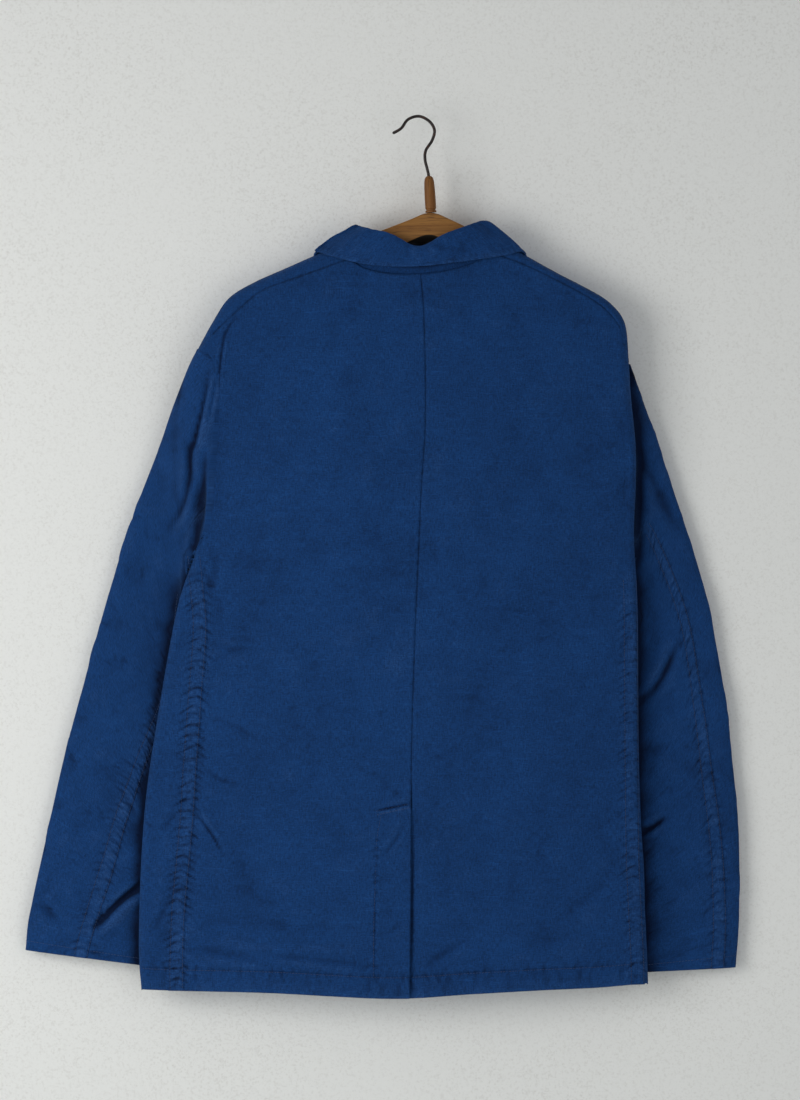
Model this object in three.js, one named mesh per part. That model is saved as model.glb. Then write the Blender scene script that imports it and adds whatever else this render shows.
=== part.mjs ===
// A washed cotton and linen work blazer, buttoned, hanging on a wooden clothes hanger.
// Millimetres, +Z up. The back of the blazer faces -Y and its front faces +Y, so seen from
// behind the wearer's left is at -X. The origin is where the wire hook bears on its nail.
// Every cloth piece is a wall CLOTH thick, swept inwards from its outer face, and the pieces
// draw back from each other along the seams.

import * as THREE from 'three';

// ---------------------------------------------------------------- driving dimensions
const CLOTH = 1.5;
const SEAM_GAP = 0.3; // room left between pieces that lie on each other
const EDGE_EASE = 0.19; // each piece draws back from its seams by this
const SAME_CORNER = 0.02; // corners nearer than this are one
const LAYER = CLOTH + 2 * SEAM_GAP; // one layer lying on another

const SHOULDER_RADIUS = 8.8; // roundness of the cloth over the hanger's arms
const SIDE_RADIUS = 6.5; // roundness of the body's side folds
const BACK_SWELL = 16; // how far the back stands out beyond the folds
const FRONT_SWELL = 7;
const SWELL_REACH = 190; // distance from the outline over which it does
const SHOULDER_Z = -240; // the shoulder's roundness gives way to the side folds' below here
const SHOULDER_FADE = 150; // and over this height
const FOLD_CLOSE = 30; // length over which a fold's turned strip narrows to its closed end
const CREASE_END = 0.08; // share of a large fold's length over which it stays shallow
const LAPEL_ROLL_END = -330; // height where the lapels fold out, above the top button
const FRONT_OVERLAP = 18; // each front passes the middle by this
const STRAIGHT_EDGE = [-356, -600, -900]; // heights at which the fronts' edges run straight down

// Where one half passes under the other: how wide the step down is, where it starts beyond the
// upper half's edge, and the heights between which it comes in.
const VENT = { top: -690, underlap: 34, step: 13, start: 16, above: 34, fade: 30 };
const LAP = { step: 22, start: 26, top: -200, fade: 60 };
const HEM_LEVEL = 180; // height over which the underlap's rows take up the hem's slope

const COUNTS = {
  neck: 3, shoulder: 6, armhole: 9, ventRows: 6, hemRows: 5, rim: 3, underlap: 3,
  lapelRows: 10, lapelColumns: 4,
};

const COLOURS = {
  cloth: { color: 0x1c4474, roughness: 0.9, metalness: 0 },
  facing: { color: 0x1a406e, roughness: 0.9, metalness: 0 },
  wood: { color: 0x966a3a, roughness: 0.55, metalness: 0 },
  turnedWood: { color: 0x8a5028, roughness: 0.5, metalness: 0 },
  wire: { color: 0x3c3230, roughness: 0.5, metalness: 0.8 },
  button: { color: 0x24324a, roughness: 0.4, metalness: 0 },
};

// ---------------------------------------------------------------- outlines, seen from behind
// Shoulder ridge of each side, from the neck to the top of the armhole.
const RIDGE_LEFT = [
  { x: -74, z: -124.5 }, { x: -103, z: -137 }, { x: -138, z: -152.5 }, { x: -166, z: -165 },
  { x: -190, z: -180 }, { x: -205, z: -202 }, { x: -221, z: -231 },
];
const RIDGE_RIGHT = [
  { x: 72, z: -120 }, { x: 105.5, z: -137 }, { x: 136, z: -154 }, { x: 169, z: -171 },
  { x: 190, z: -184 }, { x: 205, z: -203 }, { x: 210, z: -246 },
];

// Shoulder seams, which lie on the back just under the ridge.
const SHOULDER_SEAM_LEFT = [
  { x: -71, z: -141 }, { x: -92, z: -149 }, { x: -124, z: -160.5 }, { x: -157, z: -173 },
  { x: -188, z: -199 }, { x: -206, z: -216 }, { x: -221, z: -231 },
];
const SHOULDER_SEAM_RIGHT = [
  { x: 71, z: -134 }, { x: 101, z: -144.8 }, { x: 131, z: -158.4 }, { x: 163, z: -175 },
  { x: 184, z: -189 }, { x: 200, z: -208 }, { x: 210, z: -246 },
];

// Side folds of the body, from the underarm to the hem.
const SIDE_LEFT = [
  { x: -225, z: -438 }, { x: -231, z: -455 }, { x: -240, z: -483 }, { x: -248, z: -521 },
  { x: -261, z: -597 }, { x: -271, z: -662 }, { x: -276, z: -713 }, { x: -279.5, z: -785 },
  { x: -280, z: -840 }, { x: -277.5, z: -871 },
];
const SIDE_RIGHT = [
  { x: 216, z: -440 }, { x: 217.5, z: -463 }, { x: 219, z: -502 }, { x: 219, z: -560 },
  { x: 220, z: -643 }, { x: 222, z: -705 }, { x: 225, z: -750 }, { x: 226, z: -790 },
  { x: 228.5, z: -844 }, { x: 229, z: -865 },
];

// The fold between shoulder and underarm. On the left the sleeve covers it.
const FOLD_LEFT = [
  { x: -221, z: -231 }, { x: -232, z: -262 }, { x: -236, z: -310 }, { x: -235, z: -370 },
  { x: -225, z: -438 },
];
const FOLD_RIGHT = [
  { x: 210, z: -246 }, { x: 212, z: -278 }, { x: 216.5, z: -325 }, { x: 217, z: -363 },
  { x: 215, z: -415 }, { x: 216, z: -440 },
];

// Armhole seams: 'back' belongs to the back panel, 'front' to the front panel.
const ARMHOLE_LEFT_BACK = [
  { x: -221, z: -231 }, { x: -208, z: -241 }, { x: -203, z: -262 }, { x: -205, z: -290 },
  { x: -213, z: -312 }, { x: -215, z: -350 }, { x: -212, z: -385 }, { x: -214, z: -415 },
  { x: -225, z: -438 },
];
const ARMHOLE_LEFT_FRONT = [
  { x: -221, z: -231 }, { x: -204, z: -262 }, { x: -194, z: -310 }, { x: -196, z: -370 },
  { x: -208, z: -415 }, { x: -225, z: -438 },
];
const ARMHOLE_RIGHT_BACK = [
  { x: 210, z: -246 }, { x: 203, z: -272 }, { x: 206, z: -325 }, { x: 206, z: -370 },
  { x: 207, z: -415 }, { x: 216, z: -440 },
];
const ARMHOLE_RIGHT_FRONT = [
  { x: 210, z: -246 }, { x: 192, z: -278 }, { x: 180, z: -325 }, { x: 180, z: -370 },
  { x: 192, z: -415 }, { x: 216, z: -440 },
];

// Left side seam. It has swung round on to the back; the right one lies on its fold.
const SIDE_SEAM_LEFT = [
  { x: -225, z: -438 }, { x: -223, z: -462 }, { x: -219, z: -507 }, { x: -224, z: -584 },
  { x: -229, z: -650 }, { x: -232, z: -700 }, { x: -240, z: -788 }, { x: -242, z: -845 },
  { x: -242, z: -872 },
];

// Back neck seam, centre back seam with the vent's edge, and the hem.
const NECK_LEFT = [{ x: 2, z: -157 }, { x: -28, z: -156.5 }, { x: -54, z: -151 }, { x: -71, z: -141 }];
const NECK_RIGHT = [{ x: 2, z: -157 }, { x: 30, z: -153 }, { x: 55, z: -145 }, { x: 71, z: -134 }];
const CENTRE_BACK = [
  { x: 2, z: -157 }, { x: 5, z: -195 }, { x: 6.6, z: -301 }, { x: 2, z: -382 }, { x: -6, z: -582 },
  { x: -8, z: -690 }, { x: -8.5, z: -790 }, { x: -9.5, z: -879 },
];
const HEM = [
  { x: -277.5, z: -871 }, { x: -242, z: -872 }, { x: -149, z: -873.6 }, { x: -89, z: -876.7 },
  { x: -43, z: -879 }, { x: -9.5, z: -879 }, { x: 50, z: -875 }, { x: 121, z: -871.4 },
  { x: 180, z: -869 }, { x: 229, z: -865 },
];

// Largest folds of the body: a trough from one end to the other, with its half width and depth.
const BODY_FOLDS = [
  { side: -1, x0: -205, z0: -270, x1: -210, z1: -420, half: 20, depth: 4 },
  { side: -1, x0: -190, z0: -700, x1: -160, z1: -800, half: 24, depth: 3 },
  { side: -1, x0: 70, z0: -560, x1: 200, z1: -420, half: 40, depth: 3 },
  { side: -1, x0: 20, z0: -860, x1: 70, z1: -800, half: 26, depth: 3 },
  { side: 1, x0: -120, z0: -330, x1: -60, z1: -480, half: 34, depth: 3 },
  { side: 1, x0: 150, z0: -300, x1: 60, z1: -520, half: 34, depth: 3 },
];

// Sleeves, a row for each ring: its outer end, its inner end, the depth of its middle, half its
// thickness, and how far across the seam on the back lies (0 outer end, 1 inner end).
const SLEEVE_LEFT = [
  { ox: -221, oz: -231, ix: -225, iz: -438, y: 0, half: 10, seam: 0.75 },
  { ox: -233, oz: -255, ix: -229, iz: -447, y: 3.5, half: 9.5, seam: 0.77 },
  { ox: -247, oz: -290, ix: -233, iz: -470, y: 11, half: 9, seam: 0.8 },
  { ox: -262, oz: -333, ix: -235, iz: -505, y: 17.5, half: 8.5, seam: 0.82 },
  { ox: -279, oz: -377, ix: -236, iz: -543, y: 21, half: 8, seam: 0.82 },
  { ox: -297, oz: -430, ix: -237, iz: -589, y: 22.5, half: 8, seam: 0.8 },
  { ox: -314, oz: -485, ix: -239, iz: -634, y: 23.5, half: 8, seam: 0.74 },
  { ox: -335, oz: -561, ix: -242, iz: -690, y: 24, half: 8, seam: 0.62 },
  { ox: -355, oz: -635, ix: -244, iz: -742, y: 24, half: 8, seam: 0.54 },
  { ox: -373, oz: -715, ix: -247, iz: -790, y: 24, half: 8.5, seam: 0.47 },
  { ox: -391, oz: -799, ix: -249, iz: -832, y: 24, half: 9, seam: 0.41 },
  { ox: -395, oz: -833.5, ix: -250, iz: -852, y: 24, half: 9, seam: 0.38 },
];
const SLEEVE_RIGHT = [
  { ox: 210, oz: -246, ix: 216, iz: -440, y: 9.5, half: 3, seam: 0.72 },
  { ox: 219, oz: -268, ix: 212, iz: -458, y: 15.5, half: 6, seam: 0.66 },
  { ox: 229, oz: -295, ix: 209, iz: -484, y: 20, half: 7.5, seam: 0.6 },
  { ox: 241, oz: -328, ix: 207, iz: -516, y: 22.5, half: 8, seam: 0.55 },
  { ox: 256, oz: -374, ix: 204, iz: -552, y: 24, half: 8, seam: 0.49 },
  { ox: 274, oz: -428, ix: 200, iz: -596, y: 24.5, half: 8, seam: 0.43 },
  { ox: 289, oz: -481, ix: 196, iz: -640, y: 25, half: 8, seam: 0.37 },
  { ox: 304.5, oz: -561, ix: 189, iz: -696, y: 25, half: 8, seam: 0.29 },
  { ox: 314, oz: -636, ix: 184, iz: -748, y: 25, half: 8, seam: 0.23 },
  { ox: 321, oz: -716, ix: 179, iz: -796, y: 25, half: 8.5, seam: 0.16 },
  { ox: 321.5, oz: -800, ix: 174, iz: -838, y: 25, half: 9, seam: 0.135 },
  { ox: 318, oz: -851, ix: 172, iz: -858, y: 25, half: 9, seam: 0.125 },
];
const HIDDEN_SEAM = 0.86; // the sleeves' front seam lies this far towards the inner end
const MOUTH_SHIFT = 0.7; // the sleeves leave their armholes this far outside them
const SLEEVE_SETTLE = 4; // rings over which the armhole's spacing gives way to the sleeve's own
const SEAM_LEAN = 0.05; // share of a turn by which the front seam leads its place at the cuff
const SLEEVE_BLUNTNESS = 0.84; // below 1 the flattened rings have fuller ends than an ellipse

// Collar, a row for each station from the left front round the back neck to the right front:
// the roll line (r) and the fall's edge (f). The stand's foot is the neck seam itself.
const COLLAR = [
  { rx: -50, ry: 20.5, rz: -190, fx: -107, fy: 20, fz: -207 },
  { rx: -54, ry: 18.5, rz: -166, fx: -113, fy: 19, fz: -184 },
  { rx: -58, ry: 14, rz: -140, fx: -112, fy: 15, fz: -162 },
  { rx: -60, ry: 7.5, rz: -116, fx: -107, fy: 8.5, fz: -141.5 },
  { rx: -60, ry: -1, rz: -110, fx: -103, fy: -1, fz: -133.6 },
  { rx: -48, ry: -10, rz: -113, fx: -88, fy: -13.5, fz: -138.5 },
  { rx: -23, ry: -17, rz: -119, fx: -50, fy: -20.5, fz: -147.5 },
  { rx: 0, ry: -19, rz: -129.5, fx: -4, fy: -23, fz: -149.5 },
  { rx: 23, ry: -17, rz: -119, fx: 40, fy: -20.5, fz: -145 },
  { rx: 50, ry: -10, rz: -108.5, fx: 85, fy: -13.5, fz: -138 },
  { rx: 65, ry: -1, rz: -105.5, fx: 105, fy: -1, fz: -133.8 },
  { rx: 64, ry: 7.5, rz: -112, fx: 109, fy: 8.5, fz: -142 },
  { rx: 59, ry: 14, rz: -138, fx: 114, fy: 15, fz: -163 },
  { rx: 54, ry: 18.5, rz: -165, fx: 114, fy: 19, fz: -185 },
  { rx: 50, ry: 20.5, rz: -189, fx: 108, fy: 20, fz: -208 },
];
const COLLAR_RIDGE = 4 / 14; // shares of the collar at the shoulder ridge and the shoulder seam
const COLLAR_SEAM = 5 / 14;
const COLLAR_FRONT_CORNERS = 4; // corners of a front's edge that the collar covers
const COLLAR_STEP = 12; // longest span between the collar's columns
const STAND_REACH = 0.98; // share of the way to the neck seam at which the stand stops
const COLLAR_TURN = 6.4; // the fall stands this far outside the stand where it rolls over
const ROLL_DROP = 1.2; // and has come down this far there

// Lapels, a row for each height: the fold, and the lapel's outer edge (half widths from x = 0).
const LAPEL = [
  { fold: 52, z: -210, edge: 96, edgeZ: -234 }, { fold: 45, z: -228, edge: 94, edgeZ: -240 },
  { fold: 38, z: -250, edge: 79, edgeZ: -262 }, { fold: 28, z: -284, edge: 54, edgeZ: -292 },
  { fold: 15, z: -328, edge: 20, edgeZ: -333 },
];

const BUTTONS = {
  count: 3, first: -352, pitch: 105, radius: 10, thick: 3.4, sides: 24, holeAt: 1.9, holeRadius: 0.9,
};

// Hanger: the arms' upper edge, in the plane y = 0, and their depth below it.
const ARMS = [
  { x: -178, z: -178, deep: 20 }, { x: -160, z: -167, deep: 27 }, { x: -138, z: -156.2, deep: 30 },
  { x: -103, z: -140.2, deep: 31 }, { x: -74, z: -127.2, deep: 30 }, { x: -43, z: -114.8, deep: 27 },
  { x: -19, z: -105.6, deep: 24 }, { x: -5, z: -100, deep: 22.7 }, { x: 6, z: -95.6, deep: 23.2 },
  { x: 17, z: -95.6, deep: 24 }, { x: 30, z: -101, deep: 27.5 }, { x: 45, z: -108.2, deep: 29.5 },
  { x: 72, z: -122.8, deep: 31 }, { x: 105.5, z: -140.2, deep: 31 }, { x: 136, z: -157.6, deep: 30 },
  { x: 160, z: -170.5, deep: 27 }, { x: 177, z: -180.5, deep: 20 },
];
const ARM_HALF = 7; // half the arms' thickness, and at their ends
const ARM_END_HALF = 5.5;
// Half of the arms' section: share of the half thickness and drop below the upper edge.
const ARM_TOP = [{ out: 1, drop: 6.5 }, { out: 0.72, drop: 2.1 }, { out: 0.3, drop: 0 }];
const ARM_CHAMFER = 2; // on the arms' lower edges
const NECK_PIECE = [
  { r: 0, z: -94.9 }, { r: 5.4, z: -94.9 }, { r: 5.4, z: -92.6 }, { r: 4.9, z: -91.8 },
  { r: 5.3, z: -90.8 }, { r: 4.9, z: -78 }, { r: 4.2, z: -62 }, { r: 2.9, z: -58.3 }, { r: 0, z: -58.3 },
];
const NECK_SIDES = 20;
const NECK_FOOT_X = 12;
const NECK_TILT = 0.06; // the turned neck leans this many radians
const WIRE = { radius: 1.75, sides: 8, steps: 56 };
const HOOK_PATH = [
  { x: 9.6, z: -57.4 }, { x: 8, z: -50 }, { x: 6, z: -42 }, { x: 6.5, z: -33 }, { x: 13.5, z: -22 },
  { x: 15.5, z: -12 }, { x: 10.5, z: -3.5 }, { x: 0, z: 1.75 }, { x: -11, z: -1.5 }, { x: -18, z: -10.5 },
  { x: -26.5, z: -15.5 },
];

// ---------------------------------------------------------------- curves and depths
/** A smooth curve in the plane of the back through a table's points. */
function planCurve(table) {
  const points = table.map(({ x, z }) => new THREE.Vector3(x, 0, z));
  return new THREE.CatmullRomCurve3(points, false, 'centripetal');
}

/** Points of a curve at each stop from 0 to 1. */
const pointsAt = (curve, stops) => stops.map((stop) => curve.getPointAt(stop));

/** n + 1 even stops from 0 to 1. */
const evenStops = (n) => Array.from({ length: n + 1 }, (_, i) => i / n);

/** n + 1 stops from 0 to 1, close together at both ends. */
const roundStops = (n) => evenStops(n).map((t) => (1 - Math.cos(Math.PI * t)) / 2);

/** A table's column at a given value of another column, joined by smooth hermite spans. */
function tableValue(table, by, key, at) {
  const last = table.length - 1;
  let i = table.findIndex((row, k) => k < last && at <= table[k + 1][by]);
  if (i < 0) i = last - 1;
  const slope = (k) => {
    const a = table[Math.max(k - 1, 0)];
    const b = table[Math.min(k + 1, last)];
    return (b[key] - a[key]) / (b[by] - a[by]);
  };
  const a = table[i];
  const b = table[i + 1];
  const span = b[by] - a[by];
  const t = Math.min(Math.max((at - a[by]) / span, 0), 1);
  const s = t * t * (3 - 2 * t);
  const bend = t * (1 - t) * span * (slope(i) * (1 - t) - slope(i + 1) * t);
  return a[key] * (1 - s) + b[key] * s + bend;
}

const OUTLINE = [RIDGE_LEFT, FOLD_LEFT, SIDE_LEFT, RIDGE_RIGHT, FOLD_RIGHT, SIDE_RIGHT].map(
  (table) => planCurve(table).getSpacedPoints(40),
);
const ON_OUTLINE = 0.15; // points nearer the outline than this are on it

/** How far a point of the back lies from the outline of the body. */
function outlineDistance(p) {
  let best = Infinity;
  const near = new THREE.Vector3();
  for (const points of OUTLINE) {
    for (let i = 1; i < points.length; i += 1) {
      new THREE.Line3(points[i - 1], points[i]).closestPointToPoint(p, true, near);
      best = Math.min(best, near.distanceTo(p));
    }
  }
  return Math.max(best - ON_OUTLINE, 0);
}

const smooth = (t) => THREE.MathUtils.smoothstep(t, 0, 1);

/** Radius of the fold that closes the body's outline at a height. */
function foldRadius(z) {
  return THREE.MathUtils.lerp(SHOULDER_RADIUS, SIDE_RADIUS, smooth((SHOULDER_Z - z) / SHOULDER_FADE));
}

/** Depth of the large folds at a point on one face. */
function foldDepth(side, p) {
  let depth = 0;
  for (const fold of BODY_FOLDS.filter((row) => row.side === side)) {
    const a = new THREE.Vector3(fold.x0, 0, fold.z0);
    const b = new THREE.Vector3(fold.x1, 0, fold.z1);
    const along = new THREE.Vector3();
    const t = new THREE.Line3(a, b).closestPointToPointParameter(p, true);
    along.lerpVectors(a, b, t);
    const across = along.distanceTo(p) / fold.half;
    const ends = Math.sin(Math.PI * THREE.MathUtils.clamp(t, CREASE_END, 1 - CREASE_END));
    depth += fold.depth * ends * Math.exp(-across * across);
  }
  return depth;
}

/** The body's outer face over a point: side is -1 on the back and +1 on the front. */
function bodyPoint(side, p, sunk = 0) {
  const radius = foldRadius(p.z);
  const d = outlineDistance(p);
  const inFold = Math.min(d / radius, 1);
  const rise = Math.sqrt(1 - (1 - inFold) ** 2);
  const swell = side < 0 ? BACK_SWELL : FRONT_SWELL;
  const out = radius * rise + swell * Math.sin((Math.PI / 2) * Math.min(d / SWELL_REACH, 1));
  return new THREE.Vector3(p.x, side * (out - foldDepth(side, p) * inFold - sunk), p.z);
}

// ---------------------------------------------------------------- cloth
/** Collects one piece's outer face and gives it its wall. */
class Cloth {
  constructor() {
    this.points = [];
    this.triangles = [];
  }

  /** The number of a corner, shared with any patch that already has it. */
  corner(p) {
    const known = this.points.findIndex((q) => q.distanceTo(p) < SAME_CORNER);
    return known < 0 ? this.points.push(p.clone()) - 1 : known;
  }

  /** Adds a patch of rows of points, turned so that its middle faces the given way. */
  patch(rows, outward) {
    const ids = rows.map((row) => row.map((p) => this.corner(p)));
    const triangles = [];
    for (let j = 1; j < ids.length; j += 1) {
      for (let i = 1; i < ids[j].length; i += 1) {
        triangles.push([ids[j - 1][i - 1], ids[j][i - 1], ids[j][i]]);
        triangles.push([ids[j - 1][i - 1], ids[j][i], ids[j - 1][i]]);
      }
    }
    const whole = triangles.filter(([a, b, c]) => a !== b && b !== c && c !== a);
    const facing = whole[Math.floor(whole.length / 2)];
    const turned = this.faceNormal(facing).dot(outward) < 0;
    for (const [a, b, c] of whole) this.triangles.push(turned ? [a, c, b] : [a, b, c]);
    return this;
  }

  faceNormal([a, b, c]) {
    const ab = this.points[b].clone().sub(this.points[a]);
    return ab.cross(this.points[c].clone().sub(this.points[a]));
  }

  /** Area-weighted normals at the corners, before they are scaled to length 1. */
  normalSums() {
    const sums = this.points.map(() => new THREE.Vector3());
    for (const triangle of this.triangles) {
      const normal = this.faceNormal(triangle);
      triangle.forEach((id) => sums[id].add(normal));
    }
    return sums;
  }

  /** The free edges, each with the way it runs round the piece. */
  freeEdges() {
    const seen = new Set();
    for (const [a, b, c] of this.triangles) {
      [[a, b], [b, c], [c, a]].forEach((edge) => seen.add(edge.join()));
    }
    const pairs = [...seen].map((edge) => edge.split(',').map(Number));
    return pairs.filter(([a, b]) => !seen.has([b, a].join()));
  }

  /** Draws the free edges in, along the cloth. */
  easeEdges(normals, edges) {
    const shifts = new Map();
    for (const [a, b] of edges) {
      const run = this.points[b].clone().sub(this.points[a]);
      for (const id of [a, b]) {
        const inward = normals[id].clone().cross(run);
        shifts.set(id, (shifts.get(id) ?? new THREE.Vector3()).add(inward));
      }
    }
    for (const [id, shift] of shifts) this.points[id].addScaledVector(shift.normalize(), EDGE_EASE);
  }

  /** The closed wall as a geometry, from the normals at its corners. */
  geometry(normals) {
    const edges = this.freeEdges();
    this.easeEdges(normals, edges);
    const count = this.points.length;
    const inner = this.points.map((p, id) => p.clone().addScaledVector(normals[id], -CLOTH));
    const index = [];
    for (const [a, b, c] of this.triangles) {
      index.push(a, b, c, count + a, count + c, count + b);
    }
    for (const [a, b] of edges) {
      const fromA = this.points[a].z > this.points[b].z;
      if (fromA) index.push(a, count + b, b, a, count + a, count + b);
      else index.push(a, count + a, b, b, count + a, count + b);
    }
    const geometry = new THREE.BufferGeometry().setFromPoints([...this.points, ...inner]);
    geometry.setIndex(index);
    geometry.computeVertexNormals();
    return geometry;
  }
}

const group = new THREE.Group();

/** Adds a named piece to the model. */
function add(name, geometry, finish) {
  const mesh = new THREE.Mesh(geometry, new THREE.MeshStandardMaterial(finish));
  mesh.name = name;
  group.add(mesh);
}

/** Sews pieces that meet at seams: corners that they share get one normal, so the walls don't cross. */
function sew(pieces) {
  const sums = pieces.map(({ cloth }) => cloth.normalSums());
  const normals = pieces.map(({ cloth }) => cloth.points.map((p) => {
    const total = new THREE.Vector3();
    pieces.forEach(({ cloth: other }, k) => other.points.forEach((q, id) => {
      if (q.distanceTo(p) < SAME_CORNER) total.add(sums[k][id]);
    }));
    return total.normalize();
  }));
  pieces.forEach(({ name, cloth, finish }, k) => add(name, cloth.geometry(normals[k]), finish));
}

/** Share of a polyline's length at each of its points. */
function lengthShares(points) {
  const sums = [0];
  for (let i = 1; i < points.length; i += 1) sums.push(sums[i - 1] + points[i].distanceTo(points[i - 1]));
  return sums.map((sum) => sum / sums[sums.length - 1]);
}

/** Rows of points that fill the space between four edges (a Coons patch). */
function filled({ top, hem, inner, outer }) {
  const across = lengthShares(top).map((t, i) => (t + lengthShares(hem)[i]) / 2);
  const down = lengthShares(inner).map((t, j) => (t + lengthShares(outer)[j]) / 2);
  return down.map((v, j) => across.map((u, i) => {
    const p = new THREE.Vector3();
    p.addScaledVector(top[i], 1 - v).addScaledVector(hem[i], v);
    p.addScaledVector(inner[j], 1 - u).addScaledVector(outer[j], u);
    p.addScaledVector(top[0], -(1 - u) * (1 - v)).addScaledVector(top[top.length - 1], -u * (1 - v));
    return p.addScaledVector(hem[0], -(1 - u) * v).addScaledVector(hem[hem.length - 1], -u * v);
  }));
}

const FLAT_BESIDE = 1.3; // a strip wider than this many radii has a flat part beside its fold

/** Rows from a fold out to a line beside it, close together where the cloth turns. */
function rimRows(fold, beside) {
  const rows = evenStops(COUNTS.rim).map((t) => fold.map((p, i) => {
    const width = p.distanceTo(beside[i]);
    const turn = Math.acos(1 - Math.min(width / foldRadius(p.z), 1));
    const share = width > 0 ? (foldRadius(p.z) * (1 - Math.cos(turn * t))) / width : 0;
    return p.clone().lerp(beside[i], Math.min(share, 1));
  }));
  const wide = fold.some((p, i) => p.distanceTo(beside[i]) > FLAT_BESIDE * foldRadius(p.z));
  return wide ? [...rows, beside] : rows;
}

/** A line beside a fold, drawn towards the middle by its radius except at the closed end. */
function besideFold(fold, towards, closedEnd) {
  const shares = lengthShares(fold);
  const length = fold.reduce((sum, p, i) => sum + (i ? p.distanceTo(fold[i - 1]) : 0), 0);
  return fold.map((p, i) => {
    const before = fold[Math.max(i - 1, 0)];
    const after = fold[Math.min(i + 1, fold.length - 1)];
    const run = after.clone().sub(before);
    const inward = new THREE.Vector3(run.z, 0, -run.x).normalize();
    if (inward.dot(towards) < 0) inward.negate();
    const reach = length * Math.abs(shares[i] - closedEnd);
    return p.clone().addScaledVector(inward, foldRadius(p.z) * Math.min(reach / FOLD_CLOSE, 1));
  });
}

const onBody = (side, rows, sunk) => rows.map((row) => row.map((p) => bodyPoint(side, p, sunk?.(p))));
const BACKWARDS = new THREE.Vector3(0, -1, 0);
const FORWARDS = new THREE.Vector3(0, 1, 0);
const DOWNWARDS = new THREE.Vector3(0, 0, -1);

// Shared polylines, so that neighbours meet corner to corner.
const SIDE_STOPS = evenStops(COUNTS.ventRows + COUNTS.hemRows);
const hemCurve = planCurve(HEM);

/** All the shared lines of one half of the body. */
function halfLines({ ridge, seam, sideFold, sideSeam, fold, armBack, armFront, neck, sign }) {
  const shoulderStops = evenStops(COUNTS.shoulder);
  const armStops = roundStops(COUNTS.armhole);
  const lines = {
    sign,
    ridge: pointsAt(planCurve(ridge), shoulderStops),
    seam: pointsAt(planCurve(seam), shoulderStops),
    neck: pointsAt(planCurve(neck), evenStops(COUNTS.neck)),
    fold: pointsAt(planCurve(fold), armStops),
    armBack: pointsAt(planCurve(armBack), armStops),
    armFront: pointsAt(planCurve(armFront), armStops),
    side: pointsAt(planCurve(sideFold), SIDE_STOPS),
  };
  lines.sideSeam = sideSeam ? pointsAt(planCurve(sideSeam), SIDE_STOPS) : lines.side;
  lines.ridgeBeside = besideFold(lines.ridge, DOWNWARDS, 1);
  return lines;
}

const LEFT = halfLines({
  ridge: RIDGE_LEFT, seam: SHOULDER_SEAM_LEFT, sideFold: SIDE_LEFT, sideSeam: SIDE_SEAM_LEFT,
  fold: FOLD_LEFT, armBack: ARMHOLE_LEFT_BACK, armFront: ARMHOLE_LEFT_FRONT, neck: NECK_LEFT, sign: -1,
});
const RIGHT = halfLines({
  ridge: RIDGE_RIGHT, seam: SHOULDER_SEAM_RIGHT, sideFold: SIDE_RIGHT, sideSeam: null,
  fold: FOLD_RIGHT, armBack: ARMHOLE_RIGHT_BACK, armFront: ARMHOLE_RIGHT_FRONT, neck: NECK_RIGHT, sign: 1,
});

/** Points of the hem at given x, found by height. */
const hemAt = (x) => new THREE.Vector3(x, 0, tableValue(HEM, 'x', 'z', x));

/** Hem points from one x to another, in step with the shares given. */
const hemBetween = (from, to, shares) => shares.map((t) => hemAt(THREE.MathUtils.lerp(from, to, t)));

/** The centre back line: rows down to the underarm's level, to the vent's top and to the hem. */
function centreLine() {
  const at = (z) => new THREE.Vector3(centreX(z), 0, z);
  const top = CENTRE_BACK[0].z;
  const hem = CENTRE_BACK[CENTRE_BACK.length - 1].z;
  const underarm = LEFT.side[0].z;
  const upper = roundStops(COUNTS.armhole).map((t) => at(THREE.MathUtils.lerp(top, underarm, t)));
  const middle = evenStops(COUNTS.ventRows).slice(1);
  const lower = evenStops(COUNTS.hemRows).slice(1);
  return [
    ...upper,
    ...middle.map((t) => at(THREE.MathUtils.lerp(underarm, VENT.top, t))),
    ...lower.map((t) => at(THREE.MathUtils.lerp(VENT.top, hem, t))),
  ];
}

/** Where the centre back seam lies at a height. */
function centreX(z) {
  const flipped = CENTRE_BACK.map((row) => ({ x: row.x, drop: -row.z }));
  return tableValue(flipped, 'drop', 'x', -z);
}

/** How far the right back is sunk, so that it can pass under the vent's flap. */
function ventSink(p) {
  const near = smooth((centreX(p.z) + VENT.start - p.x) / VENT.step);
  return LAYER * near * smooth((VENT.top + VENT.above - p.z) / VENT.fade);
}

// ---------------------------------------------------------------- back
const centre = centreLine();

/** One back panel between the centre seam and its outer seam. */
function backPanel(half, outer, sunk) {
  const top = [...half.neck, ...half.seam.slice(1)];
  const hemStart = centre[centre.length - 1];
  const hemEnd = outer[outer.length - 1];
  const hem = hemBetween(hemStart.x, hemEnd.x, lengthShares(top));
  hem[0] = hemStart;
  hem[hem.length - 1] = hemEnd;
  return new Cloth().patch(onBody(-1, filled({ top, hem, inner: centre, outer }), sunk), BACKWARDS);
}

const leftOuter = [...LEFT.armBack, ...LEFT.sideSeam.slice(1)];
const backLeft = backPanel(LEFT, leftOuter);

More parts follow.
